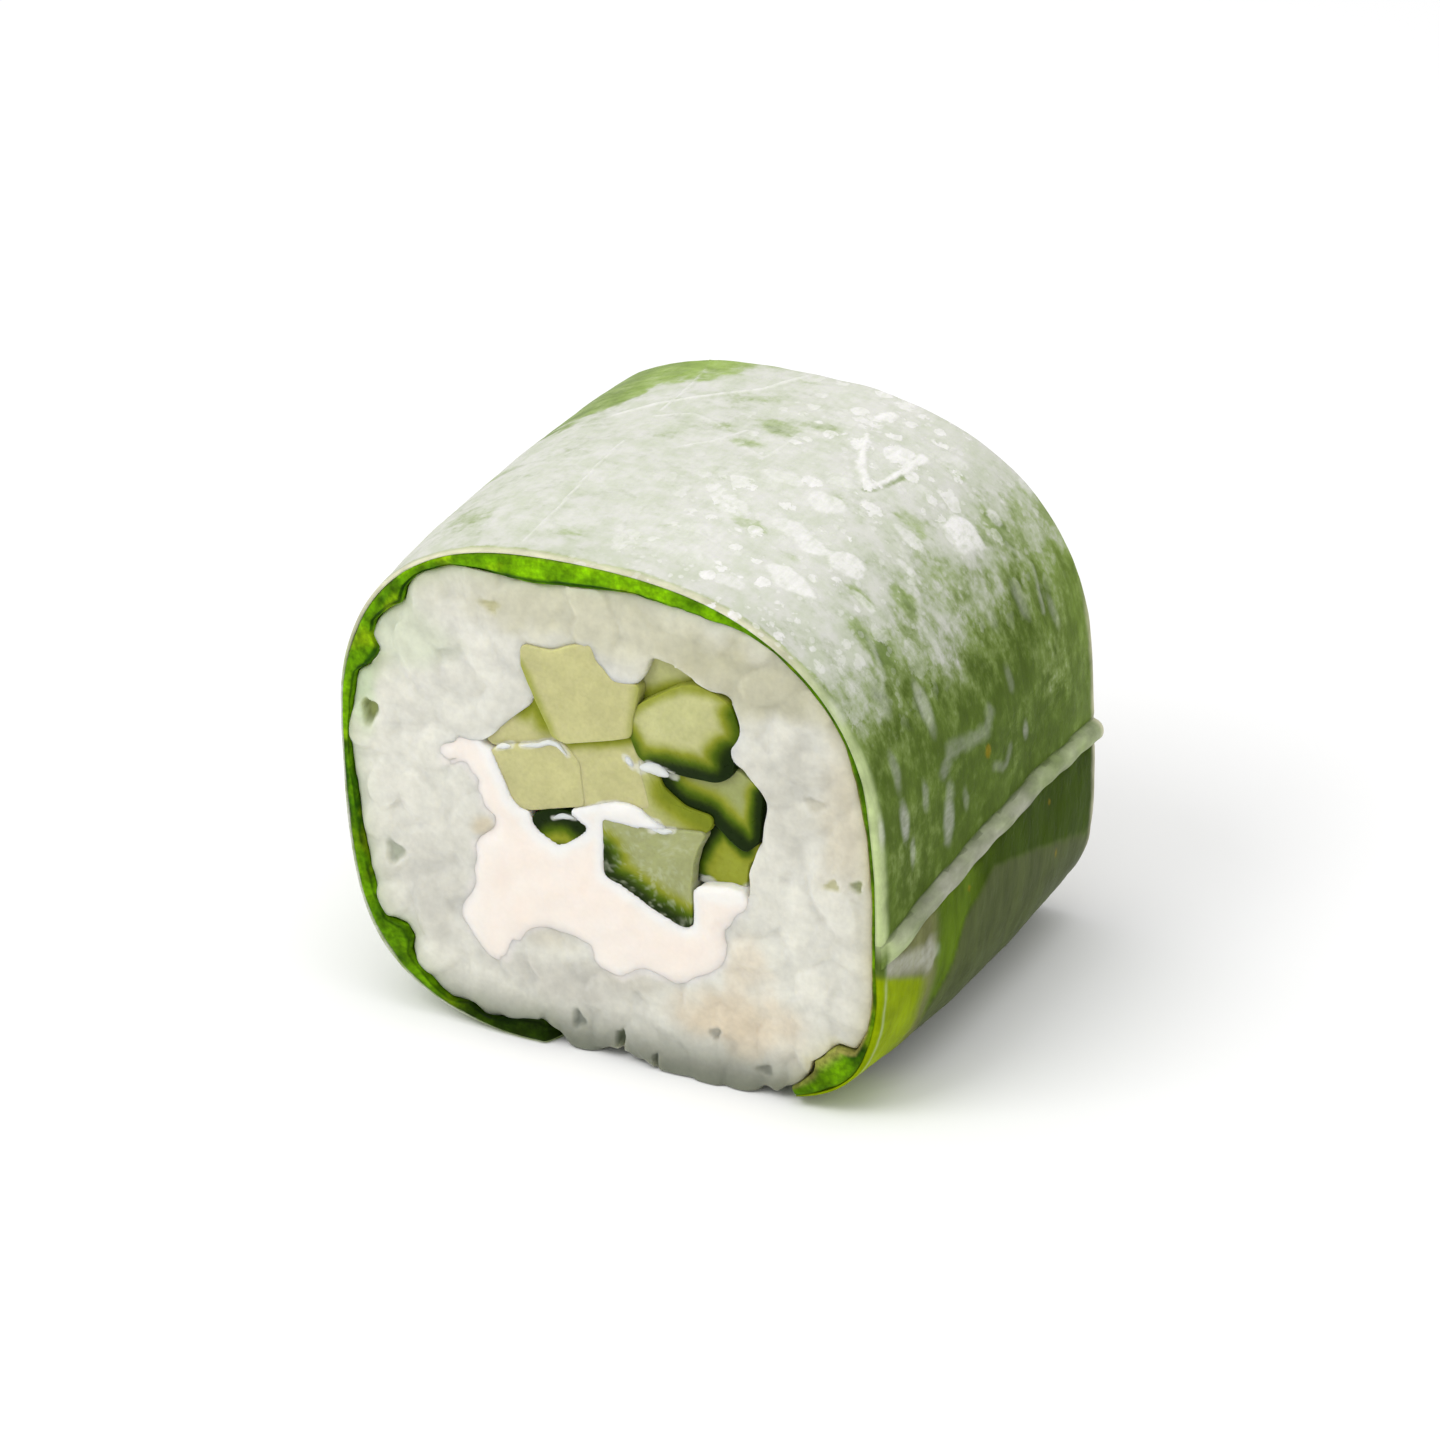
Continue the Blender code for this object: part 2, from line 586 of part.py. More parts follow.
def make_cheese(collection: bpy.types.Collection, cutters: bpy.types.Collection) -> bpy.types.Object:
    """Cream cheese along the filling, with a channel for each stick that is sunk in it."""
    outline = smooth_outline(CHEESE_MM, CHEESE_STEPS)
    front, back = -LENGTH / 2 + CHEESE_RECESS, LENGTH / 2 - CHEESE_RECESS
    cheese = prism("cream_cheese", outline, front, back, collection)
    for name in STICKS_IN_CHEESE:
        channel = inset_outline(np.array(STICKS[name][0]) * MM, STICK_INSET - GAP)
        cutter = prism(f"channel_{name}", channel, -LENGTH / 2 - OVERCUT, LENGTH / 2 + OVERCUT, cutters)
        cut(cheese, cutter, "DIFFERENCE")
        hide_cutter(cutter)
    keep_largest(cheese)
    return cheese


def make_stick(name: str, collection: bpy.types.Collection) -> bpy.types.Object:
    """One cucumber stick with rounded edges, from one cut face to the other."""
    corners, front_recess, back_recess = STICKS[name]
    outline = inset_outline(np.array(corners) * MM, STICK_INSET)
    front, back = -LENGTH / 2 + front_recess * MM, LENGTH / 2 - back_recess * MM
    stick = prism(f"cucumber_{name}", outline, front, back, collection)
    bevel = stick.modifiers.new("round", "BEVEL")
    bevel.width = STICK_ROUND
    bevel.segments = STICK_ROUND_SEGMENTS
    bevel.limit_method = "ANGLE"
    bevel.angle_limit = STICK_ROUND_ANGLE
    return stick


def main() -> None:
    """Builds the roll."""
    clear_scene()
    roll = new_collection("cucumber_cream_cheese_roll")
    cutters = new_collection("cutters")
    finish(make_film(roll), new_material("rice_paper", RICE_PAPER_FINISH))
    finish(make_leaf(roll), new_material("lettuce_leaf", LEAF_FINISH))
    finish(make_rice(roll, cutters), new_material("rice", RICE_FINISH))
    finish(make_cheese(roll, cutters), new_material("cream_cheese", CHEESE_FINISH))
    for name in STICKS:
        stick = make_stick(name, roll)
        finish(stick, new_material(stick.name, CUCUMBER_FINISH))


main()
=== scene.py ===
"""The looks of the cucumber and cream cheese roll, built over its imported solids.

The roll lies with its axis along Y, its front cut towards -Y, +X to the right and +Z up. Sizes are in
millimetres and angles in degrees, and both become metres and radians where a mesh is made. A place on the
wrapper is an angle round the roll, from +X towards +Z, with a distance along Y. A place on a cut face is
x from the middle of the face, with z from the surface that the roll rests on.
"""

import logging
import math
from dataclasses import dataclass, field
from enum import Enum

import bpy
import numpy as np
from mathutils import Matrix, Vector


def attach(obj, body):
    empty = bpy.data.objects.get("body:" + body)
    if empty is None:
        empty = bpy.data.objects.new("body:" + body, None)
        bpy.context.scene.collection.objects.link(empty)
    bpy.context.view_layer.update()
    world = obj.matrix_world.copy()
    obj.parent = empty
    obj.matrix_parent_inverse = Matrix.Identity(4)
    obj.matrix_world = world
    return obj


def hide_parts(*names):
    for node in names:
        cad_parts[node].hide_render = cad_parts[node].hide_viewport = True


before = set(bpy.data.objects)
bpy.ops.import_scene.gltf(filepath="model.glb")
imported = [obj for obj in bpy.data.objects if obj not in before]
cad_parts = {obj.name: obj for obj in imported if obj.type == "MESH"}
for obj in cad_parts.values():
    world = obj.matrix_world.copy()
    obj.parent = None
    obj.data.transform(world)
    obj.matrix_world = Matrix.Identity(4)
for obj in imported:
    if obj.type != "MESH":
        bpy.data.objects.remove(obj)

MM = 0.001
FULL_TURN = 2.0 * math.pi

# Large numbers that scatter the keys of the noise's lattice corners
AXIS_KEYS = np.array((73856093, 19349663, 83492791), np.uint32)
MIXING_KEYS = np.array((2654435761, 2246822519), np.uint32)

log = logging.getLogger("roll")

Array = np.ndarray
Piece = bpy.types.Object
Socket = bpy.types.NodeSocket
Colour = tuple[float, float, float]
Place = tuple[float, float]
Line = tuple[Place, ...]
Stations = dict[float, float]


class Cut(Enum):
    """The two cut ends of the roll, as the direction in which each one looks along Y."""

    FRONT = -1.0
    BACK = 1.0


def ease(value: Array, low: float, high: float) -> Array:
    """A soft step: t * t * (3 - 2 * t), where t runs from 0 at low to 1 at high, which may lie below low."""
    share = np.clip((value - low) / (high - low), 0.0, 1.0)
    return share * share * (3.0 - 2.0 * share)


def band(value: Array, low: float | Array, rise: float, fall: float | Array, high: float | Array) -> Array:
    """1 from rise to fall, with soft steps down to 0 at low and at high."""
    return ease(value, low, rise) * ease(value, high, fall)


def quarter_round(share: Array) -> Array:
    """Height of a quarter circle: sqrt(1 - (1 - t) ** 2), with t kept from 0 to 1."""
    return np.sqrt(1.0 - (1.0 - np.clip(share, 0.0, 1.0)) ** 2)


def joined(*parts: Array | float) -> Array:
    """Puts numbers and arrays side by side along a new last axis."""
    return np.stack(np.broadcast_arrays(*parts), axis=-1)


def circle(count: int) -> Array:
    """Angles in radians, evenly spaced round a full turn."""
    return np.linspace(0.0, FULL_TURN, count, endpoint=False)


def apart(angle: Array, middle: Array | float) -> Array:
    """How far angles lie from a middle one, from half a turn below it to half a turn above."""
    return (angle - middle + math.pi) % FULL_TURN - math.pi


def turn_of(angle: Array) -> Array:
    """Angles in radians as degrees from -90 to 270."""
    return (np.degrees(angle) + 90.0) % 360.0 - 90.0


def soft_floor(value: Array, low: float | Array, softness: float) -> Array:
    """Keeps values above a floor: low + softness * log(1 + exp((value - low) / softness))."""
    return low + softness * np.logaddexp(0.0, (value - low) / softness)


def lattice_noise(points: Array, size: float | tuple, seed: int) -> Array:
    """Smooth noise: a random number at each corner of a cube lattice, blended across each cube by ease.

    Args:
        points: Points, with x, y and z along the last axis.
        size: Width of a cube, or one width for each axis.
        seed: Picks the random numbers.

    Returns:
        A number from -1 to 1 for each point.
    """
    scaled = points / np.asarray(size, float) + 37.0 + seed * 0.37
    cell = np.floor(scaled)
    share = ease(scaled - cell, 0.0, 1.0)
    cell = cell.astype(np.int64).astype(np.uint32)
    total = np.zeros(points.shape[:-1])
    for corner in np.ndindex(2, 2, 2):
        key = np.bitwise_xor.reduce((cell + np.array(corner, np.uint32)) * AXIS_KEYS, axis=-1)
        key = (key ^ np.uint32(seed * 7919 + 11)) * MIXING_KEYS[0]
        key = (key ^ (key >> np.uint32(15))) * MIXING_KEYS[1]
        key = key ^ (key >> np.uint32(13))
        weight = np.prod(np.where(corner, share, 1.0 - share), axis=-1)
        total += weight * (key.astype(float) / 2147483648.0 - 1.0)
    return total


def layered_noise(points: Array, size: float | tuple, seed: int, layers: int = 3) -> Array:
    """Noise with finer noise on it: each layer has half the size and half the strength of the one before.

    Args:
        points: Points, with x, y and z along the last axis.
        size: Width of the first layer's cubes.
        seed: Picks the random numbers.
        layers: How many layers there are.

    Returns:
        A number of about -1 to 1 for each point.
    """
    total = np.zeros(points.shape[:-1])
    for index in range(layers):
        share = 0.5**index
        total += share * lattice_noise(points, np.asarray(size, float) * share, seed + index)
    return total / (2.0 - 0.5 ** (layers - 1))


def around(stations: Stations, angle: Array) -> Array:
    """Reads a table of degrees and values at angles in radians, in straight lines between its entries."""
    degrees = sorted(stations)
    return np.interp(np.degrees(angle) % 360.0, degrees, [stations[d] for d in degrees], period=360.0)


def by_turn(stations: Stations, turn: Array) -> Array:
    """Reads a table whose angles run from -90 to 270 degrees."""
    return np.interp(turn, list(stations), list(stations.values()))


def along_line(line: Array, stations: Array, places: Array) -> Array:
    """Points on a line of straight pieces, at places between the stations of its corners."""
    return joined(*(np.interp(places, stations, line[:, k]) for k in range(2)))


def closed_curve(knots: Line, steps: int) -> Array:
    """A closed curve through its knots, by the Catmull-Rom formula.

    Args:
        knots: The points it passes.
        steps: Points for each knot.

    Returns:
        The curve's points, two numbers each.
    """
    here = np.array(knots)
    before, after, beyond = np.roll(here, 1, 0), np.roll(here, -1, 0), np.roll(here, -2, 0)
    t = (np.arange(steps) / steps)[None, :, None]
    here, before, after, beyond = (p[:, None, :] for p in (here, before, after, beyond))
    bend = 2.0 * before - 5.0 * here + 4.0 * after - beyond
    twist = 3.0 * (here - after) + beyond - before
    return (here + 0.5 * t * ((after - before) + t * (bend + t * twist))).reshape(-1, 2)


def rounded_outline(corners: Line | Array, count: int, blur: float) -> Array:
    """A closed outline with evenly spaced points and its corners rounded by a Gaussian average along it.

    Args:
        corners: The outline's corners.
        count: How many points the outline gets.
        blur: Width of the average in millimetres.

    Returns:
        The outline's points, anticlockwise.
    """
    ring = np.array(corners)
    turned = np.sum(ring[:, 0] * np.roll(ring[:, 1], -1) - np.roll(ring[:, 0], -1) * ring[:, 1])
    ring = ring if turned > 0.0 else ring[::-1]
    ring = np.concatenate([ring, ring[:1]])
    lengths = np.concatenate([[0.0], np.cumsum(np.linalg.norm(np.diff(ring, axis=0), axis=1))])
    places = np.linspace(0.0, lengths[-1], count, endpoint=False)
    points = along_line(ring, lengths, places)
    waves = np.fft.fftfreq(count, lengths[-1] / count)
    damping = np.exp(-2.0 * (math.pi * waves * blur) ** 2)
    return np.fft.ifft(np.fft.fft(points, axis=0) * damping[:, None], axis=0).real


def outward(outline: Array) -> Array:
    """Unit normals of an anticlockwise closed outline, square to the line between each point's neighbours.

    Args:
        outline: Points of the outline.

    Returns:
        A normal for each point.
    """
    along = np.roll(outline, -1, 0) - np.roll(outline, 1, 0)
    normal = joined(along[:, 1], -along[:, 0])
    return normal / np.maximum(np.linalg.norm(normal, axis=1, keepdims=True), 1e-9)


def nearest_on(points: Array, line: Array, closed: bool) -> tuple[Array, Array]:
    """Finds the nearest point of a line of straight pieces to each point.

    Args:
        points: Points, two or three numbers each.
        line: The line's corners in order.
        closed: Whether the last corner joins the first.

    Returns:
        The distance from each point, and the nearest point itself.
    """
    start = line if closed else line[:-1]
    side = (np.roll(line, -1, 0) if closed else line[1:]) - start
    best = np.full(len(points), np.inf)
    place = np.zeros_like(points)
    for here, along in zip(start, side):
        share = np.clip((points - here) @ along / max(float(along @ along), 1e-12), 0.0, 1.0)
        found = here + share[:, None] * along
        distance = np.linalg.norm(points - found, axis=1)
        nearer = distance < best
        best[nearer] = distance[nearer]
        place[nearer] = found[nearer]
    return best, place


def is_inside(points: Array, outline: Array) -> Array:
    """Tells which points lie inside a closed outline, by counting its crossings with a level ray.

    Args:
        points: Points, two numbers each.
        outline: The outline's corners.

    Returns:
        True for each point inside.
    """
    inside = np.zeros(len(points), bool)
    for start, end in zip(outline, np.roll(outline, -1, 0)):
        crosses = (start[1] > points[:, 1]) != (end[1] > points[:, 1])
        rise = end[1] - start[1] if end[1] != start[1] else 1.0
        crossing = start[0] + (points[:, 1] - start[1]) * (end[0] - start[0]) / rise
        inside ^= crosses & (points[:, 0] < crossing)
    return inside


def grid_faces(rows: int, columns: int, ring_of_rows: bool) -> Array:
    """Four-cornered faces of a grid whose columns close on themselves.

    Args:
        rows: Rows of the grid.
        columns: Points in each row.
        ring_of_rows: Whether the last row joins the first as well.

    Returns:
        Four point numbers for each face.
    """
    row = np.arange(rows if ring_of_rows else rows - 1)[:, None]
    column = np.arange(columns)[None, :]
    after_row, after_column = (row + 1) % rows, (column + 1) % columns
    corners = ((row, column), (row, after_column), (after_row, after_column), (after_row, column))
    return joined(*(r * columns + c for r, c in corners)).reshape(-1, 4)


def enclosed_volume(points: Array, faces: Array) -> float:
    """Volume inside closed faces: a sixth of the sum of each triangle's triple product.

    Args:
        points: Corner points.
        faces: Point numbers of each four-cornered face.

    Returns:
        The volume, below zero where the faces look inwards.
    """
    a, b, c, d = (points[faces[:, k]] for k in range(4))
    halves = np.einsum("ij,ij->i", a, np.cross(b, c)) + np.einsum("ij,ij->i", a, np.cross(c, d))
    return float(halves.sum()) / 6.0


def new_piece(name: str, points: Array, faces: Array) -> Piece:
    """Makes a smooth-shaded object of points in millimetres, with its faces turned outwards.

    Args:
        name: The object's name.
        points: Corner points.
        faces: Four point numbers for each face. Two equal ones stand for a triangle.

    Returns:
        The object, at the origin.
    """
    points = points.reshape(-1, 3)
    if enclosed_volume(points, faces) < 0.0:
        faces = faces[:, ::-1]
    thin = (faces[:, 2] == faces[:, 3]) | (faces[:, 0] == faces[:, 1])
    triangles = np.where(faces[thin, :1] == faces[thin, 1:2], faces[thin][:, 1:], faces[thin][:, :3])
    mesh = bpy.data.meshes.new(name)
    mesh.from_pydata((points * MM).tolist(), [], faces[~thin].tolist() + triangles.tolist())
    mesh.update()
    mesh.shade_smooth()
    obj = bpy.data.objects.new(name, mesh)
    bpy.context.scene.collection.objects.link(obj)
    return obj


def mesh_points(obj: Piece) -> Array:
    """The points of an object's mesh, in millimetres.

    Args:
        obj: The object.

    Returns:
        Three numbers for each point.
    """
    flat = np.empty(len(obj.data.vertices) * 3, np.float32)
    obj.data.vertices.foreach_get("co", flat)
    return flat.reshape(-1, 3).astype(float) / MM


def move_points(obj: Piece, points: Array) -> None:
    """Puts new points, in millimetres, into an object's mesh."""
    obj.data.vertices.foreach_set("co", (points * MM).astype(np.float32).ravel())
    obj.data.update()


def apply_modifiers(obj: Piece) -> None:
    """Replaces an object's mesh by its evaluated mesh.

    Args:
        obj: The object.
    """
    graph = bpy.context.evaluated_depsgraph_get()
    mesh = bpy.data.meshes.new_from_object(obj.evaluated_get(graph))
    obj.modifiers.clear()
    old = obj.data
    obj.data = mesh
    bpy.data.meshes.remove(old)
    mesh.shade_smooth()


def melt_together(obj: Piece, voxel: float, rounds: int) -> None:
    """Fuses a piece's overlapping shells into one skin of even cells, and smooths it.

    Args:
        obj: The piece.
        voxel: Size of a cell in millimetres.
        rounds: How many times the skin is smoothed.
    """
    fuse = obj.modifiers.new("fuse", "REMESH")
    fuse.mode = "VOXEL"
    fuse.voxel_size = voxel * MM
    relax = obj.modifiers.new("relax", "SMOOTH")
    relax.factor = 0.5
    relax.iterations = rounds
    apply_modifiers(obj)


def paint(obj: Piece, name: str, values: Array) -> None:
    """Stores a number, or a colour of three numbers, for each point of a mesh.

    Args:
        obj: The object.
        name: The attribute's name.
        values: One number or three for each point.
    """
    if values.ndim == 1:
        attribute = obj.data.attributes.new(name, "FLOAT", "POINT")
        attribute.data.foreach_set("value", values.astype(np.float32))
        return
    colours = np.concatenate([np.clip(values, 0.0, 1.0), np.ones((len(values), 1))], axis=1)
    attribute = obj.data.attributes.new(name, "FLOAT_COLOR", "POINT")
    attribute.data.foreach_set("color", colours.astype(np.float32).ravel())


def blend(first: Array | Colour, second: Array | Colour, share: Array) -> Array:
    """Mixes colours: the first where share is 0 and the second where it is 1. Either may be one colour."""
    share = np.clip(share, 0.0, 1.0)[..., None]
    return np.asarray(first) * (1.0 - share) + np.asarray(second) * share


def coated(base: Array | Colour, *coats: tuple[Array | Colour, Array]) -> Array:
    """Lays colours over a base one after another.

    Args:
        base: The first colour.
        coats: Each further colour, with its share at each point.

    Returns:
        A colour for each point.
    """
    for colour, share in coats:
        base = blend(base, colour, share)
    return base


def dress(piece: Piece, material: bpy.types.Material, node: str) -> None:
    """Gives a piece its material, hangs it under the root body and hides the solid that it replaces.

    Args:
        piece: The piece.
        material: Its material.
        node: The solid that it replaces.
    """
    piece.data.materials.append(material)
    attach(piece, "root")
    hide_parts(node)


@dataclass(frozen=True)
class RollForm:
    """The roll's own form, by the formulas and sizes of its solids."""

    length: float = 31.3
    half_width: float = 19.0
    half_height: float = 17.45
    face_x: float = -0.42
    axis_x: float = -0.52
    axis_z: float = 17.3
    lean: float = -0.053
    corner_powers: Line = ((45.0, 2.5), (135.0, 2.67), (225.0, 3.58), (315.0, 4.14))
    barrel: float = 0.6
    back_growth: float = 0.2
    drift_x: float = 0.9
    drift_z: float = -0.5
    lip_middle: float = 279.5
    lip_half_angle: float = 21.5
    lip_fade: float = 4.0

    @property
    def front(self) -> float:
        """The y of the front cut."""
        return self.end(Cut.FRONT)

    @property
    def back(self) -> float:
        """The y of the back cut."""
        return self.end(Cut.BACK)

    def end(self, cut: Cut) -> float:
        """The y of a cut face."""
        return cut.value * self.length / 2.0

    def power(self, angle: Array) -> Array:
        """The outline's roundness: the corners' powers, weighted by the fourth power of the cosine to each.

        Args:
            angle: Angles in radians.

        Returns:
            A power for each angle.
        """
        total, weights = np.zeros_like(angle), np.zeros_like(angle)
        for degrees, power in self.corner_powers:
            weight = np.clip(np.cos(angle - math.radians(degrees)), 0.0, None) ** 4
            total += weight * power
            weights += weight
        return total / weights

    def radius(self, angle: Array) -> Array:
        """Radius of the outline: ((|cos| / half width) ** p + (|sin| / half height) ** p) ** (-1 / p).

        Args:
            angle: Angles in radians.

        Returns:
            A radius for each angle.
        """
        power = self.power(angle)
        across = np.abs(np.cos(angle) / self.half_width) ** power
        upward = np.abs(np.sin(angle) / self.half_height) ** power
        return (across + upward) ** (-1.0 / power)

    def outline(self, angle: Array) -> Array:
        """Points of the outline, which leans: x gains lean times z.

        Args:
            angle: Angles in radians.

        Returns:
            x and z for each angle.
        """
        radius = self.radius(angle)
        x, z = radius * np.cos(angle), radius * np.sin(angle)
        return joined(self.axis_x + x + self.lean * z, self.axis_z + z)

    def normal(self, angle: Array) -> Array:
        """Unit normals of the outline, square to the line between two points just beside each angle.

        Args:
            angle: Angles in radians.

        Returns:
            x and z of the normal at each angle.
        """
        step = 0.02
        along = self.outline(angle + step) - self.outline(angle - step)
        normal = joined(along[..., 1], -along[..., 0])
        return normal / np.linalg.norm(normal, axis=-1, keepdims=True)

    def swell(self, y: Array) -> Array:
        """How far the roll stands out beyond its outline: a barrel that is a little fuller at the back."""
        share = 2.0 * y / self.length
        return self.barrel * (1.0 - share**2) + self.back_growth * 0.5 * (1.0 + share)

    def skin(self, angle: Array, y: Array, depth: float | Array = 0.0) -> Array:
        """Points at a depth under the roll's surface, which is pressed flat where it rests.

        Args:
            angle: Angles in radians.
            y: Distances along the roll.
            depth: Depth at each point, below zero above the surface.

        Returns:
            x, y and z for each point.
        """
        angle, y, depth = np.broadcast_arrays(angle, y, depth)
        normal = self.normal(angle)
        flat = self.outline(angle) + normal * self.swell(y)[..., None]
        flat[..., 1] = np.maximum(flat[..., 1], 0.0)
        inner = flat - normal * depth[..., None]
        inner[..., 1] = np.maximum(inner[..., 1], np.minimum(depth, 1.0) * ease(-normal[..., 1], 0.3, 0.8))
        return joined(inner[..., 0], y, inner[..., 1])

    def angle_of(self, x: Array, z: Array) -> Array:
        """The outline's own angle, in radians, towards a point of a cut face in the row frame."""
        up = z - self.axis_z
        return np.arctan2(up, x - self.axis_x - self.lean * up)

    def depth_of(self, points: Array) -> tuple[Array, Array]:
        """How deep points lie under the surface: along the radius, turned square to the outline.

        Args:
            points: x, y and z for each point.

        Returns:
            The angle of each point in radians, and its depth.
        """
        angle = self.angle_of(points[:, 0], points[:, 2])
        edge = self.outline(angle) + self.normal(angle) * self.swell(points[:, 1])[:, None]
        away = edge - points[:, [0, 2]]
        return angle, np.einsum("ij,ij->i", away, self.normal(angle))

    def lip(self, angle: Array, margin: float = 0.0) -> Array:
        """1 where rice hangs over the wrapper's front edge, widened by margin degrees, and 0 elsewhere."""
        away = np.abs((np.degrees(angle) - self.lip_middle + 180.0) % 360.0 - 180.0)
        return ease(away, self.lip_half_angle + margin + self.lip_fade, self.lip_half_angle + margin)

    def near_cuts(self, y: Array, reach: float, full: float) -> Array:
        """1 up to full millimetres from either cut, and 0 beyond its reach."""
        return ease(np.abs(y), self.length / 2.0 - reach, self.length / 2.0 - full)

    def drift(self, y: float | Array) -> Array:
        """Where the filling's own x and z start at a distance y: they shift a little from front to back."""
        share = np.asarray(y, float) / self.length + 0.5
        return joined(self.face_x + self.drift_x * share, self.drift_z * share)


def rows_of(kind: type, rows: tuple) -> tuple:
    """One entry of a kind for each row of its values."""
    return tuple(kind(*row) for row in rows)


@dataclass(frozen=True)
class Blotch:
    """A patch on the wrapper, longer one way, with a ragged rim."""

    place: Place
    across: float
    along: float
    strength: float = 1.0
    turn: float = 0.0


@dataclass(frozen=True)
class Streak:
    """A line on the wrapper, which may be raised and whitened, partly with painted highlight, and narrower at
    its start.
    """

    path: Line
    width: float
    height: float = 0.0
    strength: float = 1.0
    taper: float = 0.0


class Shader:
    """A material's nodes, added one after another to its surface shader."""

    def __init__(self, name: str) -> None:
        """Starts a material.

        Args:
            name: The material's name.
        """
        self.material = bpy.data.materials.new(name)
        self.material.use_nodes = True
        self.nodes = self.material.node_tree.nodes
        self.links = self.material.node_tree.links
        self.surface = self.nodes["Principled BSDF"]
        place = self.nodes.new("ShaderNodeTexCoord").outputs["Object"]
        self.millimetres = self.vector_math("MULTIPLY", place, (1.0 / MM,) * 3)

    def feed(self, socket: Socket, value: object) -> None:
        """Links a socket to another, or sets its value.

        Args:
            socket: The input to feed.
            value: The other socket, or a value.
        """
        if isinstance(value, Socket):
            self.links.new(value, socket)
        else:
            socket.default_value = value

    def set(self, **values: object) -> None:
        """Sets sockets of the surface shader, named with underscores for spaces."""
        for name, value in values.items():
            self.feed(self.surface.inputs[name.replace("_", " ").title().replace("Ior", "IOR")], value)

    def node(self, kind: str, output: int | str, inputs: tuple | dict, **settings: object) -> Socket:
        """Adds a node.

        Args:
            kind: The end of its type's name.
            output: Number or name of the output to use.
            inputs: Values or sockets for its inputs, in order or by name.
            settings: Its own settings.

        Returns:
            The output's socket.
        """
        node = self.nodes.new("ShaderNode" + kind)
        for name, value in settings.items():
            setattr(node, name, value)
        for key, value in inputs.items() if isinstance(inputs, dict) else enumerate(inputs):
            self.feed(node.inputs[key], value)
        return node.outputs[output]

    def vector_math(self, operation: str, first: object, second: object) -> Socket:
        """Reckons with two vectors or sockets."""
        return self.node("VectorMath", 0, (first, second), operation=operation)

    def math(self, operation: str, first: object, second: object, third: object = 0.0) -> Socket:
        """Reckons with two or three numbers or sockets."""
        return self.node("Math", 0, (first, second, third), operation=operation)

    def grade(self, value: object, low: float, high: float, first: float = 0.0, last: float = 1.0) -> Socket:
        """Maps low to first and high to last, with a soft step between."""
        ends = {"Value": value, "From Min": low, "From Max": high, "To Min": first, "To Max": last}
        return self.node("MapRange", "Result", ends, interpolation_type="SMOOTHSTEP")

    def stored(self, name: str, output: str) -> Socket:
        """Reads an attribute of the mesh from the node's Color, Vector or Fac."""
        return self.node("Attribute", output, (), attribute_name=name)

    def noise(self, size: float, detail: float = 3.0, rough: float = 0.5, place: object = None,
              stretch: tuple[float, float, float] = (1.0, 1.0, 1.0)) -> Socket:
        """Adds a noise texture.

        Args:
            size: Size of its grain in millimetres.
            detail: How many finer layers it has.
            rough: Strength of the finer layers.
            place: Socket of its coordinates in millimetres, or None for the object's own.
            stretch: How much longer its grain is along each axis.

        Returns:
            The socket of its factor.
        """
        source = self.millimetres if place is None else place
        squeezed = self.vector_math("MULTIPLY", source, tuple(1.0 / s for s in stretch))
        inputs = {"Vector": squeezed, "Scale": 1.0 / size, "Detail": detail, "Roughness": rough}
        return self.node("TexNoise", "Fac", inputs)

    def bubbles(self, size: float, place: object, warp: object) -> Socket:
        """Adds round patches of random width, one in each cell of a Voronoi texture.

        Args:
            size: Size of a cell in millimetres.
            place: Socket of the coordinates in millimetres.
            warp: Socket of a noise that bends the patches' outlines.

        Returns:
            A socket that is 1 inside the patches and 0 outside.
        """
        shifted = self.vector_math("ADD", place, self.vector_math("MULTIPLY", warp, (0.9 * size,) * 3))
        distance = self.node("TexVoronoi", "Distance", {"Vector": shifted, "Scale": 1.0 / size})
        width = self.node("SeparateColor", 0, (distance.node.outputs["Color"],))
        inside = self.math("SUBTRACT", self.math("MULTIPLY", width, 0.5), distance)
        return self.grade(inside, 0.0, 0.1)

    def mix(self, share: object, first: object, second: object) -> Socket:
        """Mixes two colours or sockets, the second by its share."""
        first, second = ((*c, 1.0) if isinstance(c, tuple) else c for c in (first, second))
        return self.node("Mix", 2, {0: share, 6: first, 7: second}, data_type="RGBA")

    def shade(self, colour: object, amount: object) -> Socket:
        """Multiplies a colour by a number or socket."""
        return self.node("VectorMath", 0, {0: colour, "Scale": amount}, operation="SCALE")

    def bump(self, *layers: tuple[object, float]) -> None:
        """Raises the surface by the sum of its layers.

        Args:
            layers: Socket of each layer and its height in millimetres.
        """
        height: object = 0.0
        for layer, size in layers:
            height = self.math("MULTIPLY_ADD", layer, size * MM, height)
        self.set(normal=self.node("Bump", "Normal", {"Distance": 1.0, "Height": height}))


@dataclass(frozen=True)
class Sheen:
    """What every finish sets on the surface shader's own sockets."""

    roughness: float
    specular: float = 0.5
    coat: float = 0.0
    coat_roughness: float = 0.2
    scatter: float = 0.0
    scatter_reach: Colour = (1.0, 0.9, 0.7)
    scatter_size: float = 1.0

    def apply(self, shader: Shader) -> None:
        """Sets the constant sockets.

        Args:
            shader: The material's nodes.
        """
        shader.set(
            roughness=self.roughness,
            specular_ior_level=self.specular,
            coat_weight=self.coat,
            coat_roughness=self.coat_roughness,
            subsurface_weight=self.scatter,
            subsurface_radius=self.scatter_reach,
            subsurface_scale=self.scatter_size * MM,
        )


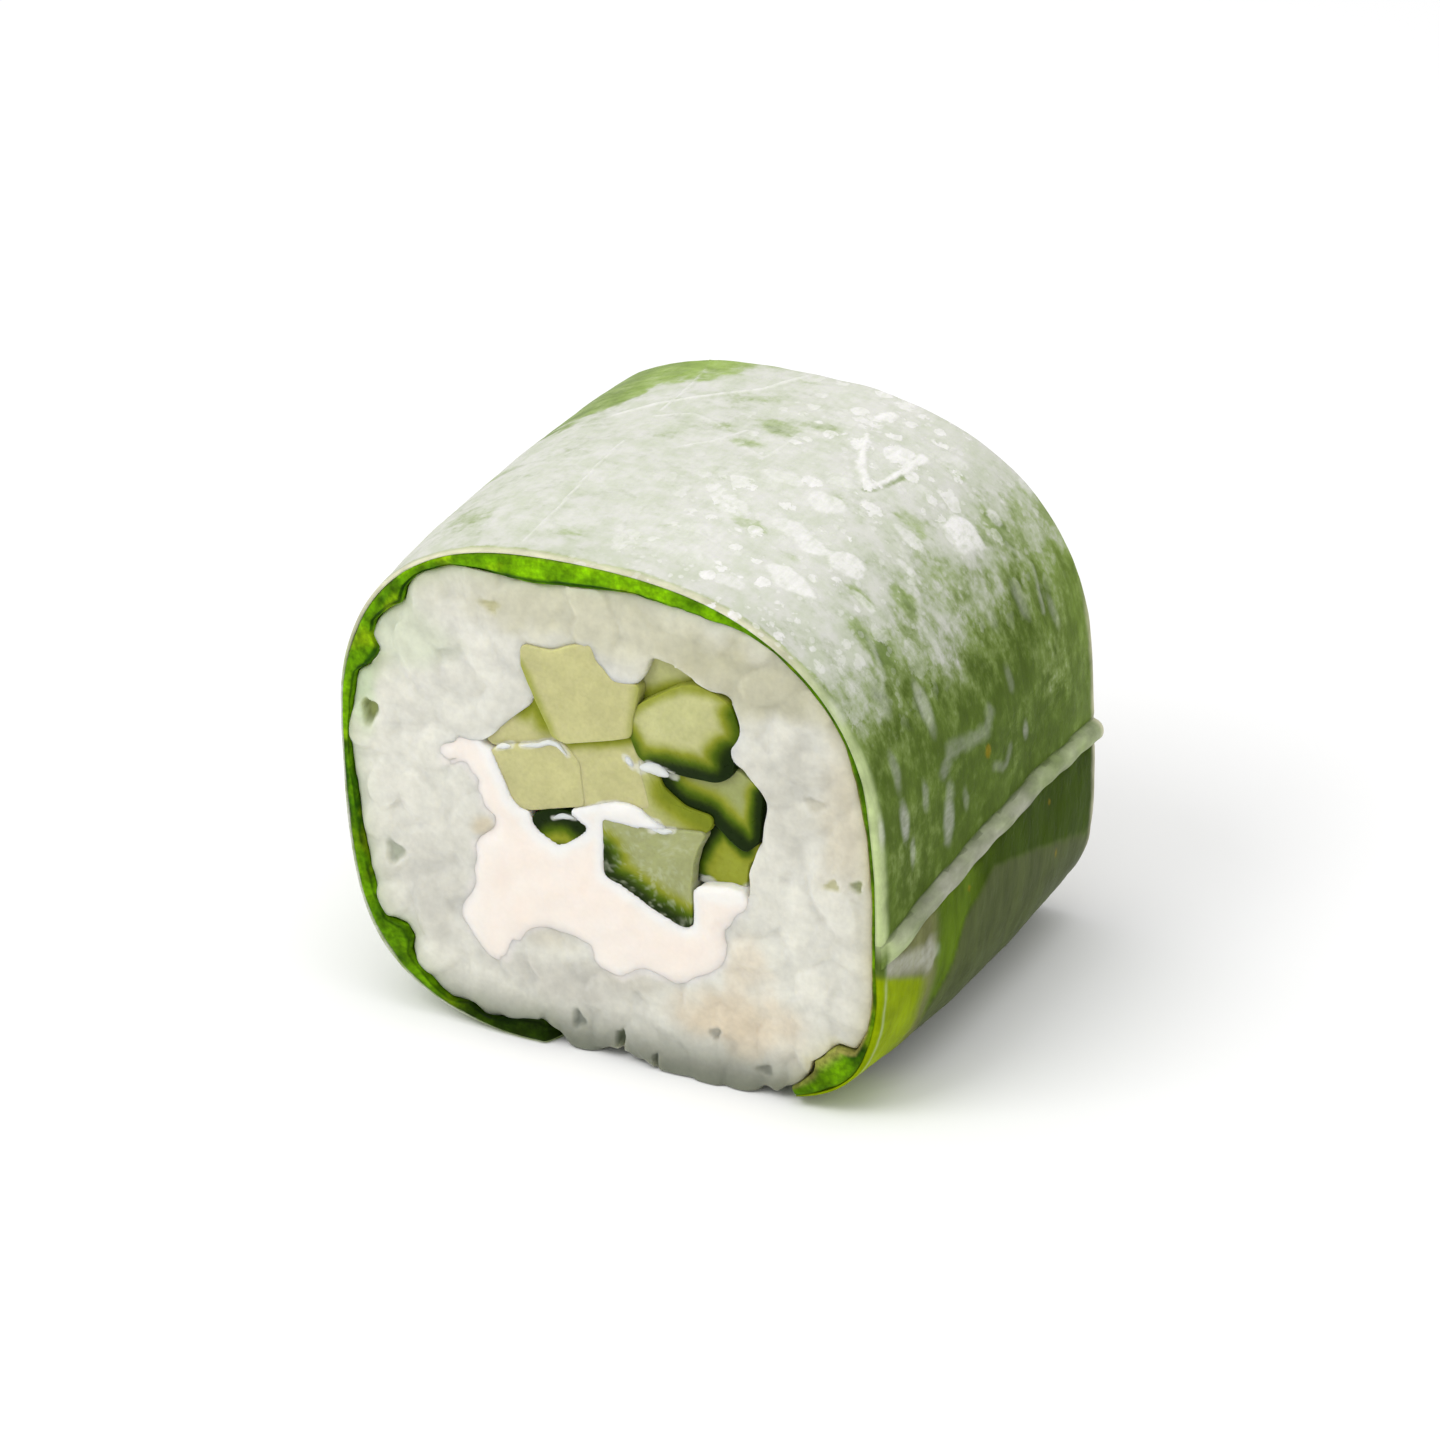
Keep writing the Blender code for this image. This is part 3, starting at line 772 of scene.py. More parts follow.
@dataclass(frozen=True)
class PaperFinish:
    """Damp rice paper over a leaf: a milky veil with ragged islands, and whiter bubbles and flecks, with
    painted sheen and highlights in the veil and the white.
    """

    sheen: Sheen = Sheen(roughness=0.42, specular=0.01, scatter=0.2, scatter_reach=(0.8, 0.9, 0.6),
                         scatter_size=0.5)
    veil: Colour = (0.615, 0.615, 0.56)
    greyer_veil: Colour = (0.50, 0.535, 0.41)
    thin_veil: Colour = (0.43, 0.53, 0.2)
    white: Colour = (0.83, 0.82, 0.79)
    large_bubble: float = 3.2
    small_bubble: float = 1.5
    fleck: float = 0.6

    def material(self) -> bpy.types.Material:
        """Builds the material.

        Returns:
            The material.
        """
        shader = Shader("rice_paper")
        self.sheen.apply(shader)
        sheet = shader.stored("sheet", "Vector")
        island = shader.noise(1.9, 4.0, 0.6, sheet, (1.3, 1.0, 1.0))
        fibre = shader.noise(0.4, 4.0, 0.6, sheet, (1.0, 4.5, 1.0))
        mottle = shader.noise(0.55, 4.0, 0.6, sheet)
        streak = shader.noise(0.8, 4.0, 0.65, sheet, (2.6, 1.0, 1.0))
        under = shader.shade(shader.stored("tint", "Color"), shader.grade(streak, 0.3, 0.72, 0.88, 1.12))
        under = shader.shade(under, shader.grade(island, 0.3, 0.7, 0.85, 1.16))
        loose = shader.stored("frost", "Fac")
        for noise, weight in ((island, 0.95), (mottle, 0.5), (streak, 0.4)):
            loose = shader.math("MULTIPLY_ADD", shader.math("SUBTRACT", noise, 0.5), weight, loose)
        share = shader.grade(loose, 0.08, 0.9, 0.0, 0.96)
        greyer = shader.grade(shader.noise(1.9, 4.0, 0.6, sheet), 0.35, 0.65)
        veil = shader.mix(greyer, self.veil, self.greyer_veil)
        veil = shader.mix(shader.grade(share, 0.1, 0.8), self.thin_veil, veil)
        colour = shader.mix(share, under, veil)
        bend = shader.math("SUBTRACT", shader.noise(1.1, 4.0, 0.65, sheet), 0.5)
        large, small, fleck = (shader.bubbles(size, sheet, bend)
                               for size in (self.large_bubble, self.small_bubble, self.fleck))
        small = shader.math("MAXIMUM", small, shader.math("MULTIPLY", fleck, 0.6))
        raised = shader.math("MAXIMUM", large, small)
        bubble = shader.math("MULTIPLY", raised, shader.stored("bubble", "Fac"))
        # The stored white carries painted sheen and highlights as well as the blotches
        bloom_and_highlight = shader.math("MAXIMUM", shader.stored("bloom_and_highlight", "Fac"), bubble)
        bloom_and_highlight = shader.math("MULTIPLY", bloom_and_highlight, shader.grade(mottle, 0.25, 0.6, 0.75, 1.1))
        bloom_and_highlight = shader.math("MULTIPLY", bloom_and_highlight, shader.grade(fibre, 0.3, 0.7, 0.78, 1.18))
        shader.set(base_color=shader.mix(bloom_and_highlight, colour, self.white))
        shader.set(roughness=shader.grade(share, 0.0, 1.0, 0.36, 0.5))
        shader.bump((mottle, 0.035), (streak, 0.02), (raised, 0.012), (shader.noise(0.15, 2.0), 0.01))
        return shader.material


@dataclass(frozen=True)
class SurfaceFinish:
    """A finish whose colour is painted on the mesh, then varied by two sizes of noise with a fine relief."""

    name: str
    sheen: Sheen
    patch_size: float
    patch_contrast: float
    grain_size: float
    grain_contrast: float
    relief: float

    def material(self) -> bpy.types.Material:
        """Builds the material.

        Returns:
            The material.
        """
        shader = Shader(self.name)
        self.sheen.apply(shader)
        patch, grain = (shader.noise(size, 3.0, 0.55) for size in (self.patch_size, self.grain_size))
        colour = shader.stored("tint", "Color")
        for noise, contrast in ((patch, self.patch_contrast), (grain, self.grain_contrast)):
            colour = shader.shade(colour, shader.grade(noise, 0.3, 0.7, 1.0 - contrast, 1.0 + contrast))
        smooth, rough = self.sheen.roughness - 0.08, self.sheen.roughness + 0.08
        shader.set(base_color=colour, roughness=shader.grade(grain, 0.3, 0.7, smooth, rough))
        shader.bump((patch, self.relief * 1.5), (grain, self.relief))
        return shader.material


LEAF_FINISH = SurfaceFinish(
    "lettuce_leaf",
    Sheen(roughness=0.4, specular=0.03, scatter=0.15, scatter_size=0.5),
    1.1, 0.3, 0.35, 0.22, 0.03,
)
RICE_FINISH = SurfaceFinish(
    "sushi_rice",
    Sheen(roughness=0.42, specular=0.2, scatter=0.75, scatter_size=1.5),
    1.3, 0.06, 0.4, 0.03, 0.022,
)
CREAM_FINISH = SurfaceFinish(
    "cream_cheese",
    Sheen(roughness=0.46, specular=0.2, scatter=0.6, scatter_reach=(1.0, 0.85, 0.65), scatter_size=1.2),
    1.8, 0.015, 0.3, 0.01, 0.012,
)
CUCUMBER_FINISH = SurfaceFinish(
    "cucumber",
    Sheen(roughness=0.34, specular=0.06, scatter=0.4, scatter_reach=(0.8, 1.0, 0.3), scatter_size=0.9),
    1.6, 0.05, 0.3, 0.04, 0.01,
)


@dataclass
class Ground:
    """The roll's surface under the paper, and what the paper's marks are measured from."""

    form: RollForm
    angle: Array
    y: Array

    def __post_init__(self) -> None:
        """Works out each point's place, degrees and distance from the front, and a noise for ragged rims."""
        self.places = self.form.skin(self.angle, self.y)
        self.turn = turn_of(self.angle)
        self.from_front = self.y - self.form.front
        self.ragged = self.noise(1.1, 40)
        self.frayed = self.y + 0.5 * self.ragged

    def noise(self, size: float | tuple, seed: int) -> Array:
        """Layered noise on the surface."""
        return layered_noise(self.places, size, seed)

    def blotch(self, blotch: Blotch, softness: float = 0.25, tearing: float = 0.45) -> Array:
        """1 in the middle of a blotch, falling to 0 at its ragged rim.

        Args:
            blotch: The patch.
            softness: Half the width of the rim, as a share of the patch.
            tearing: How far noise moves the rim.

        Returns:
            A share for each point.
        """
        middle, turn = math.radians(blotch.place[0]), math.radians(blotch.turn)
        u = apart(self.angle, middle) * float(self.form.radius(np.array([middle]))[0])
        v = self.y - blotch.place[1]
        u, v = u * math.cos(turn) + v * math.sin(turn), v * math.cos(turn) - u * math.sin(turn)
        away = np.hypot(u / (blotch.across / 2.0), v / (blotch.along / 2.0))
        return ease(away + tearing * self.ragged, 1.0 + softness, 1.0 - softness)

    def streak(self, streak: Streak) -> Array:
        """1 on the middle of a streak, falling to 0 at about half its width.

        Args:
            streak: The line.

        Returns:
            A share for each point.
        """
        corners = np.array(streak.path)
        fine = np.linspace(0.0, len(corners) - 1.0, 10 * (len(corners) - 1) + 1)
        degrees, along = along_line(corners, np.arange(len(corners)), fine).T
        line = self.form.skin(np.radians(degrees), along)
        flat = self.places.reshape(-1, 3)
        reach = 2.0 * streak.width
        near = np.all((flat > line.min(0) - reach) & (flat < line.max(0) + reach), axis=1)
        share = np.zeros(len(flat))
        if near.any():
            distance, place = nearest_on(flat[near], line, closed=False)
            chord = line[-1] - line[0]
            walked = np.clip((place - line[0]) @ chord / float(chord @ chord), 0.0, 1.0)
            width = streak.width * (1.0 - streak.taper * (1.0 - walked))
            width *= 1.0 + 0.3 * lattice_noise(flat[near], 0.7, 23)
            share[near] = ease(distance / width, 0.64, 0.1)
        return share.reshape(self.y.shape)


@dataclass
class Wrapper:
    """The sheet of rice paper with its rolled seam, and the lettuce leaf under it."""

    form: RollForm
    columns: tuple[tuple[float, int], ...] = ((-25.0, 55), (125.0, 330), (270.0, 100))
    rows: int = 188
    inner_rows: int = 9
    leaf_columns: int = 900
    leaf_noise_radius: float = 18.0
    paper_thickness: float = 0.3
    start_angle: float = -90.0
    lip_setback: float = 2.2
    lip_margin: float = 2.0
    seam_front_z: float = 12.0
    seam_back_z: float = 13.8
    seam_bow: float = 1.6
    seam_half_width: float = 0.74
    seam_height: float = 0.62
    seam_start: float = 0.55
    seam_fade: float = 1.1
    leaf_green: Colour = (0.088, 0.138, 0.020)
    pale_green: Colour = (0.26, 0.375, 0.075)
    deep_green: Colour = (0.04, 0.072, 0.001)
    lime_green: Colour = (0.25, 0.34, 0.002)
    grey_green: Colour = (0.082, 0.103, 0.034)
    seam_grey: Colour = (0.38, 0.39, 0.30)
    seam_green: Colour = (0.27, 0.35, 0.13)
    rim_cream: Colour = (0.70, 0.66, 0.49)
    edge_green: Colour = (0.45, 0.535, 0.26)
    olive_green: Colour = (0.17, 0.18, 0.07)
    strip_green: Colour = (0.10, 0.17, 0.008)
    spot_brown: Colour = (0.26, 0.19, 0.005)
    cut_dark: Colour = (0.03, 0.105, 0.001)
    cut_green: Colour = (0.21, 0.48, 0.001)
    cut_lime: Colour = (0.36, 0.52, 0.004)
    cut_brown: Colour = (0.11, 0.085, 0.01)
    cut_shadow: Colour = (0.012, 0.05, 0.001)
    cut_cream: Colour = (0.42, 0.38, 0.10)
    # Depths of the paper's and the leaf's inner faces on the front cut at each angle
    paper_edge: Stations = field(default_factory=lambda: {
        0: 0.40, 7: 0.48, 13: 0.50, 20: 0.24, 30: 0.14, 45: 0.12, 70: 0.12, 100: 0.10, 125: 0.12, 140: 0.25,
        150: 0.28, 165: 0.2, 185: 0.16, 205: 0.26, 220: 0.26, 230: 0.12, 250: 0.14, 320: 0.16, 325: 0.3,
        335: 0.34, 343: 0.5, 352: 0.44,
    })
    leaf_edge: Stations = field(default_factory=lambda: {
        0: 0.66, 7: 0.78, 13: 0.84, 18: 0.8, 22: 0.66, 27: 0.42, 33: 0.38, 45: 0.4, 51: 0.36, 56: 0.5,
        61: 0.8, 64: 1.08, 72: 1.28, 81: 1.4, 88: 1.6, 95: 1.85, 105: 2, 111: 1.85, 118: 1.3, 123: 0.85,
        132: 0.8, 136: 1.1, 139: 1.75, 143: 1.4, 148: 1.1, 150.5: 1.5, 152.5: 2.3, 155: 2.2, 158: 1.8,
        161: 0.95, 170: 0.75, 177: 0.55, 182: 0.55, 186: 0.8, 192: 0.9, 198: 1, 205: 1.17, 209: 1.16,
        213: 1.32, 216: 2.4, 219: 2.3, 221: 1.4, 225: 1.2, 230: 0.64, 233: 0.5, 236: 1.19, 239: 0.75,
        242: 0.8, 247: 1.6, 251: 1.8, 257: 0.8, 270: 0.6, 290: 0.6, 303: 0.5, 306: 0.75, 309: 1.16,
        312: 1.65, 314: 2.4, 319: 2.45, 322: 2.2, 323.5: 1.05, 329: 0.75, 335: 0.7, 342: 0.76, 348: 0.7,
        354: 0.64,
    })
    # Painted light and shade on the leaf's cut edge at each angle: darkest at the bottom, where the roll
    # rests
    leaf_light: Stations = field(default_factory=lambda: {
        0: 0.35, 20: 0.4, 35: 0.5, 60: 0.8, 80: 0.95, 115: 1, 140: 0.9, 160: 0.85, 170: 0.85, 190: 0.9,
        205: 0.8, 225: 0.6, 232: 0.4, 237: 0.08, 250: 0.03, 262: 0.06, 290: 0.12, 304: 0.36, 318: 0.66,
        330: 0.56, 345: 0.5,
    })
    # How pale the inner edge of the leaf's cut is at each angle
    fringe_round: Stations = field(default_factory=lambda: {
        -90: 0.6, -55: 0.6, -35: 0.8, -20: 1, 30: 0.9, 45: 0.2, 60: 0,
    })
    # How much of the leaf the paper veils, how white it is and how many bubbles it holds at each angle. The
    # veil and the white peak on top: partly the paper's own frost and partly painted sheen of the light from
    # above
    frost_and_sheen_round: Stations = field(default_factory=lambda: {
        -90: 0.4, -30: 0.06, 0: 0.06, 15: 0.11, 25: 0.25, 33: 0.44, 39: 0.58, 46: 0.74, 54: 0.87, 64: 0.93,
        80: 0.88, 100: 0.88, 125: 0.86, 150: 0.8, 200: 0.6, 269: 0.4,
    })
    bloom_and_sheen_round: Stations = field(default_factory=lambda: {
        -90: 0, 30: 0, 45: 0.14, 58: 0.3, 72: 0.36, 95: 0.24, 115: 0.24, 130: 0.2, 150: 0.15, 180: 0.1,
        269: 0,
    })
    bubble_round: Stations = field(default_factory=lambda: {
        -90: 0, 22: 0, 34: 0.25, 46: 0.6, 60: 0.85, 76: 0.75, 90: 0.4, 108: 0.12, 150: 0.06, 269: 0,
    })
    blotches: tuple[Blotch, ...] = rows_of(Blotch, (
        ((42, 5.9), 2.8, 3, 1), ((63, -0.5), 2.6, 2.2, 0.75, 20), ((73, 0.3), 2.8, 1.5, 0.6),
        ((64, 2.5), 1.7, 1.3, 0.6), ((76, -4.8), 2, 1.7, 0.65, 30), ((64, -4.5), 2.4, 1.7, 0.7),
        ((59, -5.3), 2, 1.8, 0.8, 40), ((57, -9.4), 3.2, 2.2, 0.85), ((52, -4.8), 2.6, 2.2, 0.8),
        ((65, -12.4), 1.9, 1.3, 0.6), ((72, -11.3), 1.9, 1.2, 0.5), ((78, -8.6), 1.9, 1.3, 0.55),
        ((83, -11.5), 1.6, 1, 0.4), ((53, 11.6), 2.1, 1.9, 0.5), ((58, 11.4), 1.8, 1.3, 0.4),
        ((53, 6.6), 0.9, 0.8, 0.5), ((48, 1.6), 2.6, 1, 0.6), ((89, -10.8), 1.5, 0.8, 0.4),
        ((44, -1), 2.2, 0.9, 0.6), ((41, 10), 1.3, 1.1, 0.6), ((69, 12.3), 1.2, 0.7, 0.9, 20),
        ((41, 15.2), 1.6, 1, 0.5), ((45, -6.6), 1.7, 0.7, 0.6), ((82, -0.3), 1.6, 0.9, 0.4),
        ((34, -15), 1.6, 1, 0.6), ((10, -15), 2, 0.7, 0.75), ((8, -12.2), 2.5, 0.95, 0.8),
        ((1, -11.4), 1.9, 0.7, 0.55), ((2, -6.6), 3.3, 1.15, 0.7, 8), ((10, -9.4), 1.9, 0.8, 0.45),
        ((3, -4.4), 1.6, 0.7, 0.3), ((5, 4.4), 1.3, 0.7, 0.5), ((24, -7.2), 3.2, 1.1, 0.65),
        ((29, -3.4), 2.4, 1, 0.4), ((32, 3.5), 3.4, 1.2, 0.45), ((27, 7.5), 2.6, 1.2, 0.4),
        ((17, 3), 1.6, 0.8, 0.3), ((18, -12.2), 2.4, 0.9, 0.4), ((31, -11), 2.4, 1.4, 0.5),
        ((38, 6.5), 3, 1.6, 0.4), ((33, -0.2), 2.8, 1.1, 0.4), ((21, 10.8), 2.2, 0.9, 0.35),
    ))
    # Where the veil is thinner, or thicker where the strength is negative
    bare_patches: tuple[Blotch, ...] = rows_of(Blotch, (
        ((84, 6.6), 3.4, 2.2, 0.42), ((76, 8.2), 2.2, 1.5, 0.35), ((71, -6), 2.6, 1.3, 0.4),
        ((86, 3.3), 1.8, 0.9, 0.4), ((60, -7.3), 1.6, 0.9, 0.3), ((49, 3), 2.2, 1.6, 0.28),
        ((46, -6.5), 1.8, 1.2, 0.3), ((95, 5), 2.6, 1, 0.25), ((58, 6.2), 1.4, 1, 0.25),
        ((100, -12), 2.8, 1.2, 0.25), ((84, -9.5), 1.8, 0.9, 0.2), ((41, -3.3), 2.2, 1.4, 0.35),
        ((37, -8.5), 2.4, 1.6, 0.35), ((43, -8.8), 1.6, 1.1, 0.3), ((52, 10.6), 1.8, 1.2, 0.25),
        ((134, -2), 4, 2.6, 0.28), ((128, -11), 4.8, 3.4, 0.22), ((104, 3.5), 3.4, 2.2, 0.2),
        ((98, 10), 4, 2.2, 0.25), ((40, 9.5), 2.4, 1.4, 0.3), ((30, -2.4), 4, 4.6, -0.18),
        ((0, -11.5), 6, 5, -0.16), ((12, 10.5), 5, 5, -0.16),
    ))
    # Raised creases and folds of the paper, the V fold among them. The white laid along them is partly the
    # paper's own and partly painted highlight
    ridges: tuple[Streak, ...] = rows_of(Streak, (
        (((68.5, 9.2), (66, 6.8), (63.5, 5), (61, 3.9)), 1.15, 0.07, 1, 0.65),
        (((61.5, 3.9), (59.5, 3.7), (58.4, 5), (57.8, 6.6)), 0.55, 0.06, 1),
        (((58.2, 6), (57.4, 8), (57.2, 9.8)), 1.05, 0.05, 1, 0.5),
        (((62.2, 9.6), (60.2, 8.6), (58.2, 8.4)), 0.85, 0.05, 0.9, 0.4),
        (((69.8, 11.8), (68.4, 12.9)), 1.1, 0.05, 1),
        (((110, 0.7), (109.6, -2.5), (109, -5.4), (108, -10.1), (108, -14.2)), 0.22, 0.09, 0.6),
        (((114, 15.3), (112, 13.1), (111, 10.9), (110, 8.6), (110, 5.9)), 0.24, 0.09, 0.6),
        (((91, 14.8), (96, 11.6), (104, 9), (112, 7), (119, 5)), 0.6, 0.07, 0.6),
        (((86, 2.8), (80, 1.9), (79, 4.3), (79, 6.4)), 0.4, 0.06, 0.45),
        (((110, 4.9), (103, 5.9), (95, 5)), 0.35, 0.06, 0.5),
        (((98, 1), (93, 2.6), (89, 5)), 0.35, 0.06, 0.5),
        (((11, -6.9), (14, -5.9), (13, -3.6), (12, -1.1), (14.5, -0.3)), 1.3, 0.02, 0.15),
        (((4, -0.4), (2, 0.7), (2.3, 1.3), (4.5, 1.9)), 0.8, 0.02, 0.12),
        (((341.6, -14.6), (340, -12.6), (338.4, -10.8), (338, -9.4)), 2.3, 0.03, 0.3, 0.4),
        (((339.4, -9.8), (336.4, -9.6)), 1.7, 0.03, 0.3),
        (((36, -3.5), (44, -0.5), (51, 0.8)), 0.7, 0.04, 0.3),
        (((28, -12), (34, -9.5), (40, -8.6)), 0.6, 0.03, 0.25),
        (((22, 9.5), (30, 10.5), (36, 9)), 0.6, 0.04, 0.2),
    ))
    # Painted shadows beside the V fold and a crease
    painted_shadow_lines: tuple[Streak, ...] = rows_of(Streak, (
        (((56.4, 7.2), (57.2, 5.6), (58.4, 3.6), (60, 2.8)), 0.5, 0, 0.36),
        (((119, -1.5), (112, 3.5), (104, 6)), 0.2, 0, 0.1),
    ))
    spots: tuple[Blotch, ...] = rows_of(Blotch, (
        ((8, -1.2), 0.9, 0.65), ((345, 7.8), 0.4, 0.35), ((334, 8.9), 0.4, 0.35), ((344, -4.4), 0.4, 0.35),
    ))
    # Where the bare green at the upper back starts along the roll, at each angle
    bare_edge: Line = (
        (92, 15.8), (97, 14.6), (105, 13), (112, 11.5), (118, 9.8), (121, 6.6), (128, 4), (150, 4),
    )
    # The angle of the doubled paper's upper edge, at places along the roll
    fold_edge: Line = (
        (-9.8, 319), (-8, 327), (-6.5, 332), (-5, 339), (-1.1, 344), (4.2, 340), (12, 333), (15.65, 329),
    )

    def seam_angle(self, y: Array) -> Array:
        """Angle of the rolled seam, which climbs from the front to the back along a low arch.

        Args:
            y: Distances along the roll.

        Returns:
            An angle in radians for each distance.
        """
        share = y / self.form.length + 0.5
        height = self.seam_front_z + (self.seam_back_z - self.seam_front_z) * share
        height += 4.0 * self.seam_bow * share * (1.0 - share)
        return np.arctan2(height - self.form.axis_z, self.form.half_width)

    def beside_seam(self, angles: Array, y: Array) -> Array:
        """Angles drawn along with the seam's climb, so that the rows of points beside it run with it.

        Args:
            angles: Angles in radians.
            y: Distances along the roll, one row for each station.

        Returns:
            An angle for each point.
        """
        middle = self.seam_angle(np.zeros(1))
        away = np.abs(apart(angles, middle))
        return angles + (self.seam_angle(y) - middle) * ease(away, math.radians(22.0), math.radians(4.0))

    def seam_share(self, angle: Array, y: Array) -> tuple[Array, Array]:
        """Where points lie on the rolled seam.

        Args:
            angle: Angles in radians.
            y: Distances along the roll.

        Returns:
            The place across the seam, from -1 at its lower side to 1 at its upper one, and how far it has
            risen from its rounded front end, from 0 to 1.
        """
        wander = 0.08 * np.sin(y * 0.8) + 0.06 * np.sin(y * 1.9 + 1.0)
        across = apart(angle, self.seam_angle(y)) * self.form.half_width / self.seam_half_width + wander
        return across, quarter_round((y - self.form.front - self.seam_start) / self.seam_fade)

    def seam_relief(self, ground: Ground) -> Array:
        """Height of the seam: half a round rod, uneven along its length, beside a shallow trough.

        Args:
            ground: The surface under the paper.

        Returns:
            A height for each point.
        """
        across, rise = self.seam_share(ground.angle, ground.y)
        places = ground.places
        uneven = 1.0 + 0.12 * lattice_noise(places, 3.6, 5) + 0.03 * lattice_noise(places, 1.8, 9)
        rod = np.sqrt(np.clip(1.0 - across**2, 0.0, 1.0)) ** 1.15 * uneven
        groove = np.exp(-((np.abs(across) - 1.15) / 0.22) ** 2) * 0.07
        wrinkle = 0.025 * lattice_noise(places, (1.4, 3.2, 1.2), 31) * ease(np.abs(across), 1.05, 0.6)
        return rise * (self.seam_height * rod + wrinkle) - groove * rise

    def fold_share(self, angle: Array, y: Array) -> Array:
        """1 on the doubled paper below the seam, and 0 above its slanting edge.

        Args:
            angle: Angles in radians.
            y: Distances along the roll.

        Returns:
            A share for each point.
        """
        edge = np.interp(y, *zip(*self.fold_edge))
        degrees = np.degrees(angle) % 360.0
        below = ease(degrees, edge + 0.7, edge - 0.7) * (degrees > 180.0)
        return below * ease(y, -11.2, -9.8)

    def front_edge(self, angle: Array, setback: float) -> Array:
        """Distance along the roll where the wrapper starts at each angle, set back under the lip of rice."""
        wave = 0.06 * np.sin(5.0 * angle + 0.6) + 0.04 * np.sin(13.0 * angle)
        return self.form.front + 0.06 + wave * 0.5 + setback * self.form.lip(angle, self.lip_margin)

    def paper_depth(self, angle: Array, y: Array) -> Array:
        """Depth of the paper's inner face: its edge's own thickness at the front, then even."""
        front = ease(y - self.form.front, 3.0, 0.3)
        return around(self.paper_edge, angle) * front + self.paper_thickness * (1.0 - front)

    def on_cylinder(self, angle: Array, along: Array) -> Array:
        """Places on a plain cylinder, where the leaf's noise is read."""
        radius = self.leaf_noise_radius
        return joined(np.cos(angle) * radius, along, np.sin(angle) * radius)

    def leaf_depth(self, angle: Array, y: Array) -> Array:
        """Depth of the leaf's inner face, which carries its folds on the front cut.

        Args:
            angle: Angles in radians.
            y: Distances along the roll.

        Returns:
            A depth for each point.
        """
        front = ease(y - self.form.front, 4.0, 0.8)
        ring = self.on_cylinder(angle, y)
        plain = 0.85 + 0.35 * np.sin(3.0 * angle + 0.5) + 0.25 * layered_noise(ring, 3.0, 12)
        edge = around(self.leaf_edge, angle) + 0.05 * lattice_noise(ring, 0.8, 3)
        return np.maximum(edge * front + plain * (1.0 - front), self.paper_depth(angle, y) + 0.18)

    def paper(self) -> Piece:
        """Builds the sheet of rice paper as a wall whose rows close on themselves.

        Returns:
            The sheet, with the colour of the leaf under it and the share of veil painted on; the veil and the
            white carry painted sheen and highlights as well.
        """
        starts = [self.start_angle, *(end for end, _ in self.columns)]
        spans = [np.linspace(first, last, count, endpoint=False)
                 for first, (last, count) in zip(starts, self.columns)]
        angles = np.radians(np.concatenate(spans))
        front, back = self.front_edge(angles, self.lip_setback), self.form.back - 0.02
        stations = np.linspace(0.0, 1.0, self.rows)[:, None]
        y = front + (back - front) * stations
        ground = Ground(self.form, self.beside_seam(angles, y), y)
        relief, layers, tint = self.weather(ground)
        rounding = 0.06 * (1.0 - quarter_round(np.minimum(y - front, back - y) / 0.2))
        outer = self.form.skin(ground.angle, y, rounding - relief)
        inner_y = front + (back - front) * np.linspace(1.0, 0.0, self.inner_rows)[:, None]
        inner_angle = self.beside_seam(angles, inner_y)
        inner = self.form.skin(inner_angle, inner_y, self.paper_depth(inner_angle, inner_y))
        rows = np.concatenate([outer, inner])
        piece = new_piece("rice_paper_sheet", rows, grid_faces(len(rows), len(angles), True))
        for name, layer in (*layers.items(), ("tint", tint)):
            layer = np.concatenate([layer, np.repeat(layer[:1], self.inner_rows, 0)])
            paint(piece, name, layer.reshape(-1, *layer.shape[2:]))
        first_row = ground.places[0]
        arc = np.cumsum(np.linalg.norm(np.diff(first_row, axis=0, prepend=first_row[:1]), axis=1))
        sheet = joined(arc, np.concatenate([y, inner_y]), 0.0)
        # The paper's grain turns to run along the rolled seam
        rolled = np.abs(self.seam_share(ground.angle, y)[0]) < 1.1
        sheet[:self.rows][rolled] = sheet[:self.rows][rolled][:, (1, 0, 2)]
        attribute = piece.data.attributes.new("sheet", "FLOAT_VECTOR", "POINT")
        attribute.data.foreach_set("vector", sheet.astype(np.float32).ravel())
        return piece

